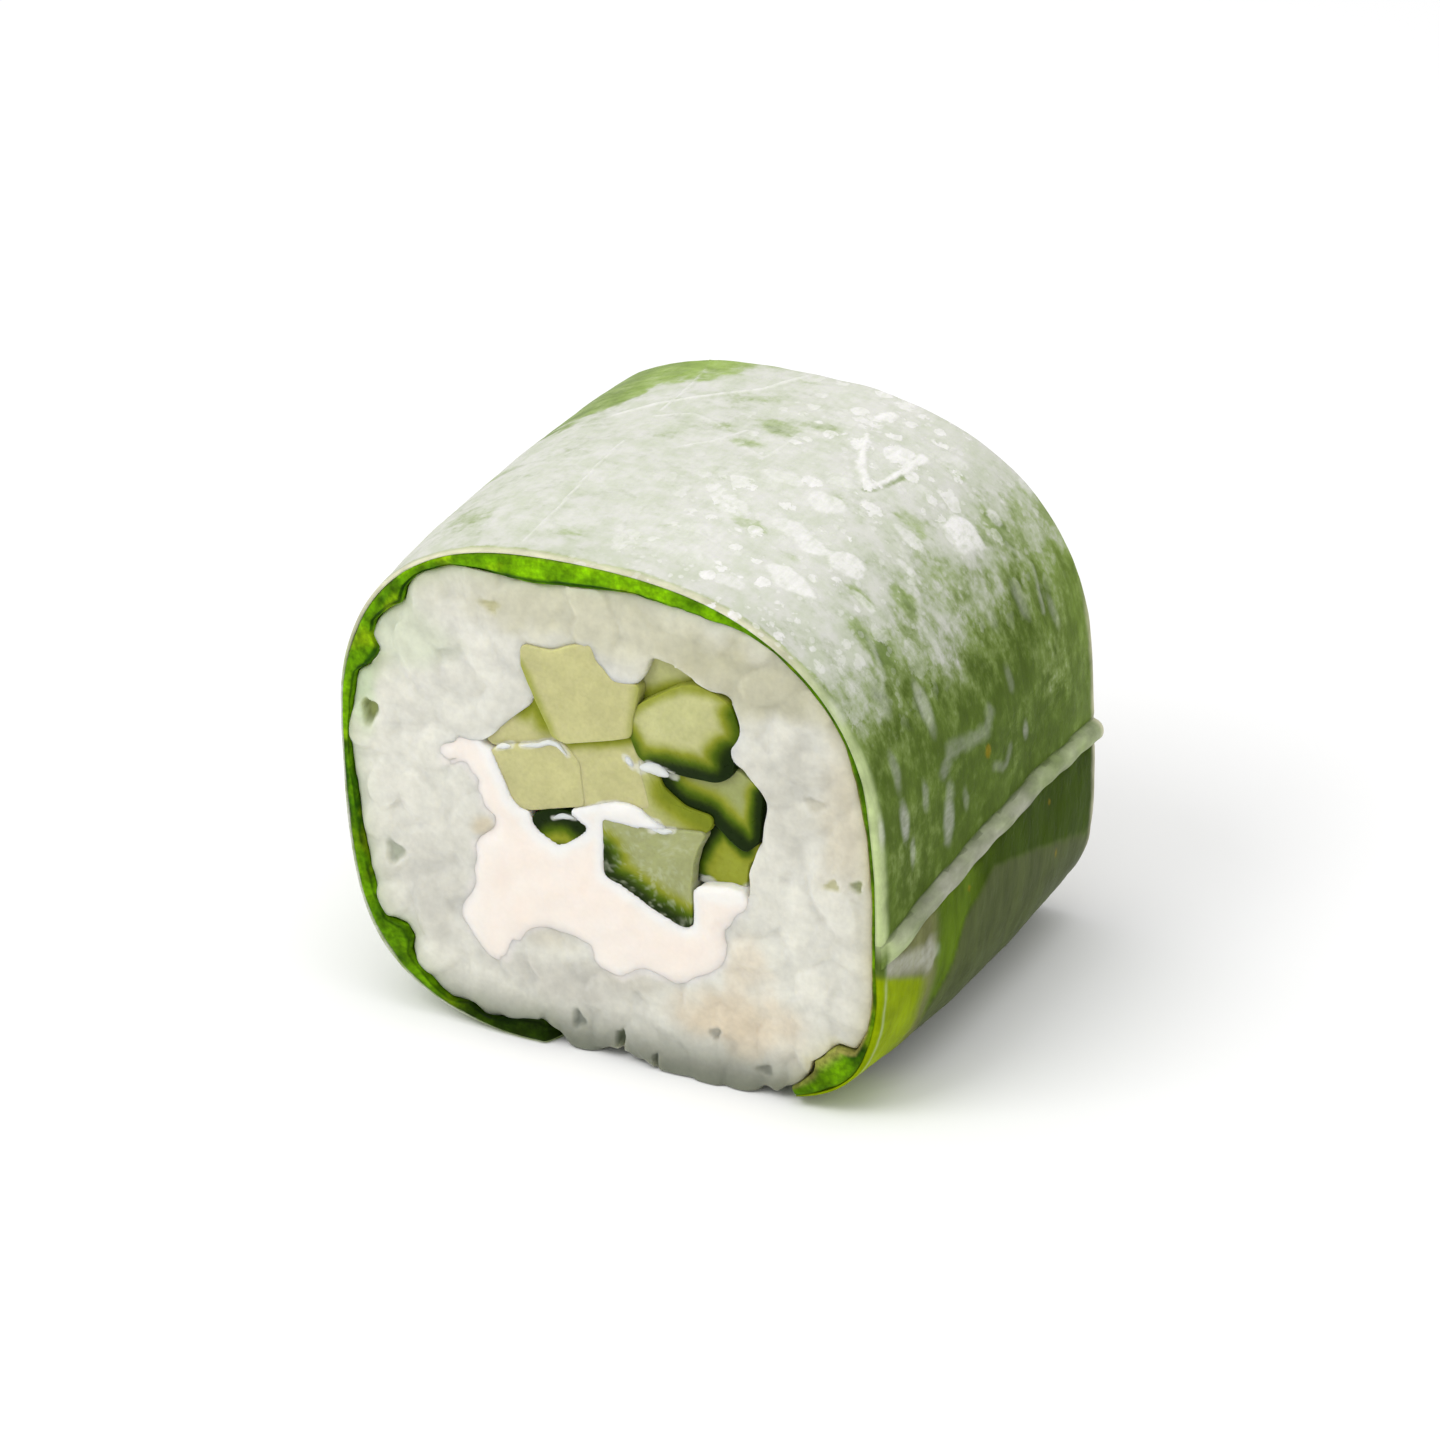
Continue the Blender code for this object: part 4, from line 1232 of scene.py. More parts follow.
    def zones(self, ground: Ground) -> dict[str, Array]:
        """Finds the areas of the sheet that differ from the rest.

        Args:
            ground: The surface under the paper.

        Returns:
            The share of each area at each point, by name.
        """
        y, turn, ragged, frayed = ground.y, ground.turn, ground.ragged, ground.frayed
        across, rise = self.seam_share(ground.angle, y)
        below = ease(across, -0.9, -1.3) * (turn < 0.0) * ease(rise, 0.0, 0.5)
        edge = np.interp(turn, *zip(*self.bare_edge), left=40, right=4)
        lime_top = np.interp(y, (-15.65, -9.4), (-19.5, -27.0))
        lime = ease(frayed, -9.0, -10.8) * band(turn, -60.0, -48.0, lime_top - 0.8, lime_top + 1.2)
        hem = ease(np.abs(ground.from_front - 0.55 - 0.06 * ragged), 0.2, 0.08)
        front_rim = ease(ground.from_front + 0.15 * ragged, 1.0, 0.3) * band(turn, 34.0, 52.0, 145.0, 172.0)
        back_rim = ease(y + 0.25 * ragged, 14.7, 15.5) * band(turn, -40.0, -25.0, 10.0, 24.0)
        return {
            "seam": ease(np.abs(across), 1.25, 0.85) * ease(rise, 0.0, 0.4),
            "below": below,
            "fold": self.fold_share(ground.angle, frayed) * (turn < 0.0),
            "rim": ease(ground.from_front + 0.1 * ragged, 1.2, 0.4) * band(turn, -17.0, -12.0, 36.0, 48.0),
            "lime": lime,
            # The olive patch under the seam's front end is painted shade
            "olive": ease(frayed, -8.0, -9.4) * below,
            "hem": 0.7 * hem * band(turn, -62.0, -54.0, -22.0, -19.0),
            "cream": np.maximum(0.75 * front_rim, 0.6 * back_rim),
            "bare": ease(y + 2.4 * ragged, edge - 1.0, edge + 2.2) * band(turn, 88.0, 112.0, 134.0, 172.0),
            "shadow_lines": np.maximum.reduce([line.strength * ground.streak(line) for line in self.painted_shadow_lines]),
            "spots": 0.7 * np.maximum.reduce([ground.blotch(spot) for spot in self.spots]),
        }

    def weather(self, ground: Ground) -> tuple[Array, dict[str, Array], Array]:
        """Works out the paper's relief, its layers of white, which hold painted sheen and highlights, and the
        leaf's colour under it.

        Args:
            ground: The surface under the paper.

        Returns:
            The relief, the veil with the white patches and the strength of bubbles, and the colour. The veil
            and the white patches hold painted sheen and highlights.
        """
        zones = self.zones(ground)
        turn, height = ground.turn, ground.places[..., 2]
        relief = 0.16 * ground.noise(5.5, 2) * ease(ground.from_front, 0.0, 2.0) * ease(height, 0.2, 2.5)
        relief += 0.035 * ground.noise(1.3, 3) * ease(height, 0.1, 1.0)
        frost = by_turn(self.frost_and_sheen_round, turn) + 0.24 * ground.noise(3.2, 7) * ease(turn, 20.0, 40.0)
        bloom_and_highlight = by_turn(self.bloom_and_sheen_round, turn) * (1.0 + 0.5 * ground.noise((3.0, 1.2, 3.0), 8))
        bloom_and_highlight = bloom_and_highlight * (1.0 - 0.5 * band(ground.from_front, 0.5, 1.0, 2.2, 4.0))
        upper = ease(turn, 32.0, 46.0)
        for patch in self.bare_patches:
            frost -= 1.1 * patch.strength * ground.blotch(patch, 0.7, 0.72)
        # Blotches whiten more towards the top by upper: painted sheen of the light from above
        for blotch in self.blotches:
            share = ground.blotch(blotch, 0.5 - 0.35 * (blotch.place[0] > 35.0))
            bloom_and_highlight = np.maximum(bloom_and_highlight, blotch.strength * (0.42 + 0.5 * upper) * share)
            relief += 0.04 * blotch.strength * upper * share
        # Creases and the V fold are whitened along their lines: partly painted highlight
        for ridge in self.ridges:
            share = ground.streak(ridge)
            bloom_and_highlight = np.maximum(bloom_and_highlight, ridge.strength * share)
            relief += ridge.height * share
        relief += self.seam_relief(ground) + 0.1 * zones["fold"]
        plain = np.maximum.reduce([zones[name] for name in ("seam", "below", "fold", "rim", "lime")])
        frost = frost * (1.0 - plain) - 0.3 * plain - 1.2 * zones["cream"] - zones["shadow_lines"]
        frost -= (0.72 + 0.35 * ground.noise(2.2, 44)) * zones["bare"]
        for zone, strength in (("bare", 0.85), ("cream", 0.8), ("shadow_lines", 1.0)):
            bloom_and_highlight = bloom_and_highlight * (1.0 - strength * zones[zone])
        bubble = by_turn(self.bubble_round, turn) * (1.0 - np.maximum(plain, 0.5 * zones["bare"]))
        return relief, {"frost": frost, "bloom_and_highlight": bloom_and_highlight, "bubble": bubble}, self.under_tint(ground, zones)

    def under_tint(self, ground: Ground, zones: dict[str, Array]) -> Array:
        """The colour under the paper's veil: the leaf, the seam and the areas that differ, with painted shade
        under the seam and beside creases.

        Args:
            ground: The surface under the paper.
            zones: The share of each area, by name.

        Returns:
            A colour for each point.
        """
        y, turn = ground.y, ground.turn
        paler = 0.05 + 0.6 * ease(turn, 24.0, 60.0) + 0.3 * ease(y, 6.0, 15.0)
        paler = paler * (1.0 - 0.35 * ease(turn, 112.0, 130.0)) + 0.2 * ground.noise(3.0, 19)
        greener = 0.45 * ease(np.abs(y + 4.0), 4.0, 12.0) + 0.5 * ground.noise((1.0, 2.0, 1.0), 16) + 0.15
        # The seam's colour is lighter towards its front end: partly painted highlight
        light = 0.95 + 0.3 * ease(y, -11.5, -14.0) + 0.35 * ground.noise((1.2, 2.5, 0.8), 15)
        # Deeper green under the seam's flap: partly the leaf's own green and partly painted shade under the
        # seam
        under_flap = zones["below"] * (1.0 - zones["fold"])
        return coated(
            self.leaf_green,
            (self.pale_green, paler),
            (self.pale_green, zones["bare"] * ease(turn, 135.0, 108.0)),
            (self.deep_green, 0.22 * ease(turn, 14.0, 2.0) * ease(y, -14.0, -12.0)),
            (self.deep_green, under_flap),
            (self.strip_green, under_flap * ease(ground.frayed, -2.0, -5.0)),
            (self.grey_green, zones["fold"]),
            (blend(self.seam_grey, self.seam_green, greener) * light[..., None], zones["seam"]),
            (self.edge_green, zones["rim"]),
            # painted shade under the seam's front end
            (self.olive_green, zones["olive"]),
            (self.lime_green, zones["lime"]),
            (self.edge_green, zones["hem"]),
            (self.rim_cream, zones["cream"]),
            # painted shadow lines beside the V fold and a crease
            (self.deep_green, zones["shadow_lines"]),
            (self.spot_brown, zones["spots"]),
        )

    def leaf_rim(self, angles: Array, edge_y: Array, share: Array) -> tuple[Array, Array, Array]:
        """One cut edge of the leaf, ruffled, with a groove near its inner side at the upper left.

        Args:
            angles: Angles in radians.
            edge_y: Where the edge lies along the roll at each angle.
            share: How far through the leaf each row lies, from its outer face to its inner one.

        Returns:
            The depth, the distance along the roll, and the height of the ruffle less the groove, which sets
            painted light and shade, for each point.
        """
        outer, inner = self.paper_depth(angles, edge_y) - 0.05, self.leaf_depth(angles, edge_y)
        depth = outer + (inner - outer) * share
        ruffle = 0.35 * layered_noise(self.on_cylinder(angles, depth * 1.6), 1.5, 55)
        ruffle = ruffle + 0.1 * np.sin(9.0 * angles + 5.0 * share)
        groove = 0.22 * np.exp(-(((share - 0.84) / 0.08) ** 2))
        groove = groove * band(np.degrees(angles) % 360.0, 60.0, 80.0, 155.0, 165.0)
        bow = np.abs(2.0 * share - 1.0)
        crown = (1.0 - bow**4) * (inner - outer) * 0.16
        sunk = np.clip(0.12 - ruffle * np.minimum(inner - outer, 1.2) * 0.5 + groove - crown, -0.05, 1.0)
        sunk = sunk + 0.25 * (1.0 - np.sqrt(np.clip(1.0 - bow**5, 0.0, 1.0)))
        return depth, edge_y - np.sign(edge_y) * sunk, ruffle - 3.0 * groove

    def leaf(self) -> Piece:
        """Builds the leaf as a wall whose rows close on themselves, with a ruffled cut edge.

        Returns:
            The leaf, painted.
        """
        angles = math.radians(self.start_angle) + circle(self.leaf_columns)
        share = np.linspace(0.0, 1.0, 15)[:, None]
        front_y = self.front_edge(angles, self.lip_setback) - 0.1
        back_y = np.full_like(front_y, self.form.back - 0.08)
        front, back = (self.leaf_rim(angles, edge_y, share) for edge_y in (front_y, back_y))
        walk = np.linspace(0.0, 1.0, 8)[1:-1, None]
        inner_y = front[1][-1] + (back[1][-1] - front[1][-1]) * walk
        outer_y = back[1][0] + (front[1][0] - back[1][0]) * walk
        sides = (self.leaf_depth(angles, inner_y), self.paper_depth(angles, outer_y) + 0.04)
        depth = np.concatenate([front[0], sides[0], back[0][::-1], sides[1]])
        y = np.concatenate([front[1], inner_y, back[1][::-1], outer_y])
        folds = np.concatenate([front[2], 0.0 * inner_y, back[2][::-1], 0.0 * outer_y])
        shares = np.concatenate([share, np.ones_like(walk), share[::-1], np.zeros_like(walk)])
        points = self.form.skin(angles, y, depth)
        piece = new_piece("lettuce_leaf_sheet", points, grid_faces(len(y), self.leaf_columns, True))
        light = around(self.leaf_light, angles)
        cloudy, patchy = 0.4 * layered_noise(points, 1.0, 63), 0.6 * layered_noise(points, 3.2, 66)
        dark = ease(np.abs(shares - 0.86), 0.12, 0.03) * ease(layered_noise(points, 1.2, 65), -0.4, 0.1)
        # The cut edge is greener on the ruffle's crests and darker in its hollows and groove: painted light
        # and shade
        tint = coated(
            self.cut_dark,
            (self.cut_green, 0.47 + 1.3 * folds + cloudy + patchy),
            (self.cut_lime, 0.5 * ease(layered_noise(points, 1.8, 61), 0.1, 0.6)),
            (self.cut_brown, 0.6 * ease(shares, 0.12, 0.0) * light),
            (self.cut_shadow, 0.75 * dark),
            (self.cut_cream, by_turn(self.fringe_round, turn_of(angles)) * ease(shares, 0.5, 0.85)),
        )
        # Painted shade: the cut edge darkens most towards the bottom
        tint = tint * (0.05 + 0.95 * light[:, None])
        paint(piece, "tint", tint.reshape(-1, 3))
        return piece

    def build(self) -> list[Piece]:
        """Builds and dresses the wrapper's pieces.

        Returns:
            The sheet and the leaf.
        """
        paper, leaf = self.paper(), self.leaf()
        dress(paper, PaperFinish().material(), "rice_paper")
        dress(leaf, LEAF_FINISH.material(), "lettuce_leaf")
        return [paper, leaf]


@dataclass(frozen=True)
class Stain:
    """A patch of colour or a pit on a cut face."""

    place: Place
    width: float
    height: float
    colour: Colour
    strength: float
    sink: float = 0.0


BESIDE_STICKS = (
    (-12.2, 19.4), (-11.8, 20), (-10.4, 20.4), (-9.4, 20.6), (-8.3, 21.3), (-6.7, 23), (-5.2, 24.5),
    (-5.7, 25.9), (-6.1, 26.8), (-5.7, 27.7), (-4.4, 27.7), (-2.8, 28.5), (-1.7, 28.9), (-0.9, 27.6),
    (0.2, 26.7), (2, 27.1), (2.7, 28.4), (3, 29.2), (4.2, 29), (5.5, 29.1), (6.1, 28.4), (7.2, 27.9),
    (8.6, 27.2), (9.2, 25.9), (9, 24.9), (8.6, 24.2), (8.8, 23.1), (9.8, 22.3), (10.7, 21.3), (10.6, 19.3),
    (10.2, 17), (9.5, 15),
)
BESIDE_CREAM = (
    (9.5, 13.5), (8.5, 12.5), (7.3, 11.6), (7.4, 10.2), (8, 9.4), (7, 8.1), (5.7, 7.4), (3.8, 7.1),
    (2.3, 7.2), (0.8, 6.4), (-0.8, 7.1), (-1.2, 8.2), (-2.5, 8.8), (-4.2, 8.9), (-5.8, 8.2), (-7, 7),
    (-7.6, 5.6), (-8.6, 5.8), (-9.4, 6.6), (-10.3, 8), (-9.7, 9.9), (-9.1, 12.1), (-9.5, 13.2),
    (-7.9, 14.4), (-8, 15.5), (-8.8, 16.2), (-9.2, 17.9), (-10.4, 19.1), (-11.6, 18.8),
)


@dataclass
class RiceRing:
    """The ring of sushi rice: grains pressed together at both cuts, with a plain sleeve between."""

    form: RollForm
    wrapper: Wrapper
    slab: float = 4.6
    voxel: float = 0.184
    rounds: int = 7
    grain: tuple[float, float, float] = (2.8, 2.5, 5.4)
    spacing: float = 2.15
    hollow_spacing: float = 2.0
    tries: int = 5000
    grain_sink: Place = (0.45, 1.15)
    grain_scale: Place = (0.86, 1.1)
    grain_uneven: Place = (0.92, 1.08)
    grain_tip: float = 0.45
    rim_count: int = 60
    core_count: int = 240
    core_sink: float = 0.24
    core_inset: float = 0.02
    batch: int = 8000
    front_seed: int = 11
    back_seed: int = 12
    white: Colour = (0.67, 0.662, 0.59)
    leaf_tinged: Colour = (0.40, 0.48, 0.20)
    yellow: Colour = (0.56, 0.50, 0.26)
    cream_tinge_and_light: Colour = (0.78, 0.73, 0.67)
    shaded: Colour = (0.12, 0.135, 0.095)
    # How green and how yellow the rice is beside the leaf at each angle
    green_round: Stations = field(default_factory=lambda: {
        0: 0.1, 40: 0.2, 90: 0.5, 150: 0.7, 200: 0.6, 240: 0.45, 280: 0.15, 330: 0.1,
    })
    yellow_round: Stations = field(default_factory=lambda: {
        0: 1, 35: 0.8, 60: 0.1, 270: 0, 300: 0.5, 335: 1,
    })
    # Where grains hang over the wrapper's lower edge, and how wide they are
    lip_lumps: Line = (
        (-9, 2.2), (-6.8, 2.9), (-4.2, 2.3), (-2.4, 2.5), (-0.7, 2.3), (2, 2.5), (4.3, 2.2), (6.2, 2),
        (8, 2.1), (9.9, 2.1), (11.7, 2), (13.2, 2),
    )
    stains: tuple[Stain, ...] = rows_of(Stain, (
        ((0, 31), 22, 5, (0.55, 0.535, 0.385), 0.75), ((9.5, 29), 12, 5, (0.48, 0.465, 0.32), 0.8),
        ((-14, 27), 6, 4, (0.56, 0.62, 0.44), 0.5), ((-17.5, 22), 2.2, 6, (0.50, 0.60, 0.38), 0.7),
        ((-5.2, 8.1), 5.6, 2.6, (0.56, 0.53, 0.44), 0.75), ((9.6, 9.2), 3.6, 5, (0.66, 0.59, 0.47), 0.7),
        ((1.5, 6.2), 5.6, 1.8, (0.56, 0.53, 0.45), 0.65), ((16, 21), 3.4, 10, (0.60, 0.55, 0.42), 0.7),
        ((13, 22), 5, 8, (0.54, 0.53, 0.46), 0.6), ((-12, 9.5), 6, 9, (0.56, 0.55, 0.49), 0.6),
        ((9, 5), 9, 4.6, (0.63, 0.54, 0.40), 0.85), ((-8.6, 14.6), 2.2, 2, (0.62, 0.52, 0.34), 0.6),
        ((-8.8, 11.2), 1.4, 2.4, (0.62, 0.56, 0.42), 0.5), ((-4, 5), 11, 3, (0.52, 0.505, 0.45), 0.6),
        # Rows with a sink are pits; their darker colours are partly painted shade in the holes
        ((-17.1, 21), 1.1, 1.9, (0.27, 0.31, 0.09), 0.95, 0.6),
        ((-8.3, 30.4), 1.5, 1, (0.54, 0.52, 0.28), 0.8, 0.2),
        ((-15.5, 11.2), 1.4, 1.6, (0.42, 0.45, 0.33), 0.85, 0.4),
        ((15.6, 16.3), 1.1, 0.9, (0.50, 0.49, 0.26), 0.8, 0.2),
        ((17.3, 16.6), 0.8, 1, (0.34, 0.38, 0.16), 0.85, 0.3),
        ((14.3, 21.6), 1.5, 1, (0.52, 0.50, 0.40), 0.7, 0.2),
        ((-2.3, 2.3), 1, 1.3, (0.36, 0.38, 0.32), 0.7, 0.4),
        ((0.6, 1.3), 0.6, 1.9, (0.16, 0.22, 0.05), 0.9, 0.7),
        ((7.4, 3.7), 0.7, 0.9, (0.46, 0.46, 0.39), 0.7, 0.3),
        ((3.2, 0.8), 0.5, 1.3, (0.2, 0.24, 0.1), 0.7, 0.4),
        ((11, 2), 1.2, 0.8, (0.44, 0.44, 0.36), 0.6, 0.2),
    ))

    def hollow(self, y: float) -> Array:
        """The filling's outline at a distance along the roll, x and z each."""
        return closed_curve(BESIDE_STICKS + BESIDE_CREAM, 4) + self.form.drift(y)

    def limit(self, angle: Array, y: Array) -> Array:
        """Least depth of rice under the roll's surface: the leaf's inner face, or almost none at the lip.

        Args:
            angle: Angles in radians.
            y: Distances along the roll.

        Returns:
            A depth for each point.
        """
        near_front = ease(y - self.form.front, 2.6, 1.8)
        over = self.form.lip(angle) * near_front
        return self.wrapper.leaf_depth(angle, y) * (1.0 - over) + 0.05 * over

    def core(self, front: float, back: float, inset: float) -> tuple[Array, Array]:
        """A tube of rice between the hollow and the leaf, drawn in on every side.

        Args:
            front: Where it starts.
            back: Where it ends.
            inset: How far it is drawn in from the hollow and from the leaf.

        Returns:
            Its points and faces.
        """
        rings = []
        for y, is_outer in ((front, True), (back, True), (back, False), (front, False)):
            inner = rounded_outline(self.hollow(y), self.core_count, 0.3)
            inner = inner + outward(inner) * (inset + 0.1)
            ring = joined(inner[:, 0], y, inner[:, 1])
            if is_outer:
                even = circle(self.core_count) + self.form.angle_of(inner[:1, 0], inner[:1, 1])
                ring = self.form.skin(even, y, self.wrapper.leaf_depth(even, y) + inset)
            rings.append(ring)
        return np.array(rings).reshape(-1, 3), grid_faces(4, self.core_count, True)

    def grain_places(self, cut: Cut, rng: np.random.Generator) -> Array:
        """Spreads grains over a cut face: a row along the hollow first, then wherever there is room.

        Args:
            cut: The cut face.
            rng: The source of random numbers.

        Returns:
            x and z of each grain.
        """
        y = self.form.end(cut)
        hollow = self.hollow(y)
        smooth = rounded_outline(hollow, self.rim_count, 0.7)
        rim = smooth + outward(smooth) * rng.uniform(1.0, 1.4, (self.rim_count, 1))
        reach = (self.form.half_width, self.form.half_height)
        tried = rng.uniform(-1.0, 1.0, (self.tries, 2)) * reach + (self.form.axis_x, self.form.axis_z)
        angle, depth = self.form.depth_of(joined(tried[:, 0], y, tried[:, 1]))
        room = depth - self.limit(angle, np.full(len(tried), y)) > 1.0
        room &= ~is_inside(tried, hollow) & (nearest_on(tried, hollow, closed=True)[0] > 1.0)
        spots = [rim[0]]
        for places, spacing in ((rim[1:], self.hollow_spacing), (tried[room], self.spacing)):
            for spot in places:
                if min(np.linalg.norm(np.array(spots) - spot, axis=1)) > spacing:
                    spots.append(spot)
        return np.array(spots)

    def frames(self, turns: Array) -> Array:
        """The three directions of each grain, tipped first and then turned.

        Args:
            turns: The turn and the tip of each grain, in radians.

        Returns:
            A matrix for each grain, with its directions as columns.
        """
        c, s = np.cos(turns).T, np.sin(turns).T
        entries = joined(c[0], s[0] * s[1], s[0] * c[1], 0.0, c[1], -s[1], -s[0], c[0] * s[1], c[0] * c[1])
        return entries.reshape(-1, 3, 3)

    def grains(self, places: Array, sizes: Array, turns: Array) -> tuple[Array, Array]:
        """Long eggs, blunt at their ends: (a cos v cos u, b cos v sin u, c sin v), with cos v raised to 0.8.

        Args:
            places: Middle of each grain.
            sizes: Width, depth and length of each grain.
            turns: The turn of each grain in the cut face, and its tip out of it, in radians.

        Returns:
            Points and faces of all grains.
        """
        rows, columns = 9, 12
        v = np.linspace(-0.5 * math.pi, 0.5 * math.pi, rows)[:, None]
        u = circle(columns)
        waist = np.clip(np.cos(v), 0.0, None) ** 0.8
        egg = joined(waist * np.cos(u), waist * np.sin(u), np.sin(v))
        local = egg[None] * 0.5 * sizes[:, None, None, :]
        points = np.einsum("gij,grcj->grci", self.frames(turns), local) + places[:, None, None, :]
        cells = grid_faces(rows, columns, False)
        faces = cells[None] + (np.arange(len(places)) * rows * columns)[:, None, None]
        return points.reshape(-1, 3), faces.reshape(-1, 4)

    def slab_piece(self, cut: Cut, seed: int) -> Piece:
        """Builds the rice at one cut: a core and its grains, melted together and kept within the ring.

        Args:
            cut: The cut face.
            seed: Picks the random numbers.

        Returns:
            The piece, painted.
        """
        rng = np.random.default_rng(seed)
        face, inward = self.form.end(cut), -cut.value
        spots = self.grain_places(cut, rng)
        count = len(spots)
        places = joined(spots[:, 0], face + inward * rng.uniform(*self.grain_sink, count), spots[:, 1])
        scale = rng.uniform(*self.grain_scale, (count, 1))
        sizes = np.array(self.grain) * scale * rng.uniform(*self.grain_uneven, (count, 3))
        tips = (-self.grain_tip, self.grain_tip)
        turns = joined(rng.uniform(0.0, math.pi, count), rng.uniform(*tips, count))
        if cut is Cut.FRONT:
            x, width = np.array(self.lip_lumps).T
            leans = joined(rng.uniform(-0.35, 0.35, len(x)), rng.uniform(0.0, 0.35, len(x)))
            places = np.concatenate([places, joined(x + self.form.face_x, face + 1.15, 1.85)])
            sizes = np.concatenate([sizes, joined(width * 0.93, 2.5, 3.6)])
            turns = np.concatenate([turns, leans])
        ends = sorted((face + inward * self.core_sink, face + inward * self.slab))
        core, core_faces = self.core(*ends, self.core_inset)
        eggs, egg_faces = self.grains(places, sizes, turns)
        faces = np.concatenate([core_faces, egg_faces + len(core)])
        piece = new_piece(f"rice_{cut.name.lower()}", np.concatenate([core, eggs]), faces)
        melt_together(piece, self.voxel, self.rounds)
        move_points(piece, self.press(mesh_points(piece), cut))
        half_line = self.frames(turns)[..., 2] * 0.5 * (sizes[:, 2:] - sizes[:, :1])
        self.stain(piece, cut, (places - half_line, places + half_line))
        return piece

    def grain_shade(self, points: Array, ends: tuple[Array, Array]) -> Array:
        """A shade for each grain, softly blended where grains meet, and darker along their joints.

        Args:
            points: Points to shade.
            ends: Both ends of each grain's middle line.

        Returns:
            A number of about -1 to 1 for each point.
        """
        start, end = ends
        along = end - start
        length = np.maximum(np.einsum("gi,gi->g", along, along), 1e-6)
        shades = np.random.default_rng(len(start)).uniform(-1.0, 1.0, len(start))
        result = np.empty(len(points))
        for first in range(0, len(points), self.batch):
            batch = slice(first, first + self.batch)
            away = points[batch, None] - start[None]
            share = np.clip(np.einsum("pgi,gi->pg", away, along) / length, 0.0, 1.0)
            distance = np.linalg.norm(away - share[..., None] * along[None], axis=-1)
            nearest = np.partition(distance, 1, axis=1)
            weight = np.exp((nearest[:, :1] - distance) / 0.18)
            joint = ease(nearest[:, 1] - nearest[:, 0], 0.35, 0.0)
            result[batch] = (weight * shades).sum(1) / weight.sum(1) - 0.4 * joint
        return result

    def stain_reach(self, stain: Stain, points: Array) -> Array:
        """How far points lie from a stain's middle, 1 at its uneven rim. A pit has lobes: 1 - 0.2 cos 3t.

        Args:
            stain: The patch or pit.
            points: Points of the slab.

        Returns:
            A number for each point.
        """
        x = (points[:, 0] - self.form.face_x - stain.place[0]) / (stain.width * 0.5)
        z = (points[:, 2] - stain.place[1]) / (stain.height * 0.5)
        lobes = 0.2 * np.cos(3.0 * (np.arctan2(z, x) + 4.0 * stain.place[0])) if stain.sink else 0.0
        uneven = 0.3 * layered_noise(points, 0.5 * (stain.width + stain.height), 111)
        return np.hypot(x, z) / (1.0 - lobes) + uneven

    def press(self, points: Array, cut: Cut) -> Array:
        """Keeps the rice inside its ring: behind the cut, under the leaf and outside the hollow.

        Args:
            points: The points of the melted grains.
            cut: The cut face.

        Returns:
            The pressed points.
        """
        face, inward = self.form.end(cut), -cut.value
        behind = (points[:, 1] - face) * inward
        points = points.copy()
        points[:, 1] = face + inward * soft_floor(behind, 0.02, 0.26)
        for stain in self.stains:
            if cut is Cut.FRONT and stain.sink:
                away = self.stain_reach(stain, points)
                points[:, 1] += stain.sink * ease(away, 1.15, 0.5) * ease(behind, 3.0, 1.0)
        hollow = self.hollow(face)
        flat = points[:, [0, 2]]
        distance, nearest = nearest_on(flat, hollow, closed=True)
        signed = np.where(is_inside(flat, hollow), -distance, distance)
        direction = (flat - nearest) * np.sign(signed)[:, None] / np.maximum(distance, 1e-6)[:, None]
        kept = np.where(signed < 0.6, soft_floor(signed, 0.0, 0.12), signed)
        flat = flat + direction * (kept - signed)[:, None] * (np.abs(signed) < 2.5)[:, None]
        points[:, 0], points[:, 2] = flat[:, 0], flat[:, 1]
        angle, depth = self.form.depth_of(points)
        limit = self.limit(angle, points[:, 1])
        deeper = np.where(depth < limit + 0.8, soft_floor(depth, limit - 0.06, 0.08), depth)
        points[:, [0, 2]] -= self.form.normal(angle) * (deeper - depth)[:, None]
        points[:, 2] = soft_floor(points[:, 2], 0.03, 0.1)
        return points

    def stain(self, piece: Piece, cut: Cut, ends: tuple[Array, Array]) -> None:
        """Paints the rice: near white, greener beside the leaf, with patches and pits on the front cut, and
        painted shade low on the face.

        Args:
            piece: The slab.
            cut: Its cut face.
            ends: Both ends of each grain's middle line.
        """
        points = mesh_points(piece)
        shade = 1.0 + 0.06 * layered_noise(points, 1.3, 71) + 0.055 * self.grain_shade(points, ends)
        angle, depth = self.form.depth_of(points)
        room = np.clip(depth - self.limit(angle, points[:, 1]), 0.0, None)
        tint = coated(
            np.array(self.white) * shade[:, None],
            (self.leaf_tinged, around(self.green_round, angle) * np.exp(-room / 0.6)),
            (self.yellow, 0.8 * around(self.yellow_round, angle) * np.exp(-room / 0.55)),
        )
        if cut is Cut.FRONT:
            ragged = 0.35 * layered_noise(points, 1.4, 73)
            for stain in self.stains:
                share = stain.strength * ease(self.stain_reach(stain, points) + ragged, 1.35, 0.4)
                tint = blend(tint, np.array(stain.colour) * shade[:, None], share)
            # The rice beside the cheese is tinted cream: partly cheese on the rice and partly painted light
            # over the shade in the groove between them
            line = np.array(BESIDE_CREAM) + self.form.drift(self.form.end(cut))
            beside, _ = nearest_on(points[:, [0, 2]], line, closed=False)
            tint = blend(tint, self.cream_tinge_and_light, 0.7 * ease(beside + 0.5 * ragged, 0.7, 0.1))
        # Painted shade: the rice darkens towards the bottom of the face
        lip = ease(points[:, 2], 4.5, 0.4) * (np.degrees(angle) % 360.0 > 200.0)
        paint(piece, "tint", blend(tint, self.shaded, 0.85 * lip))

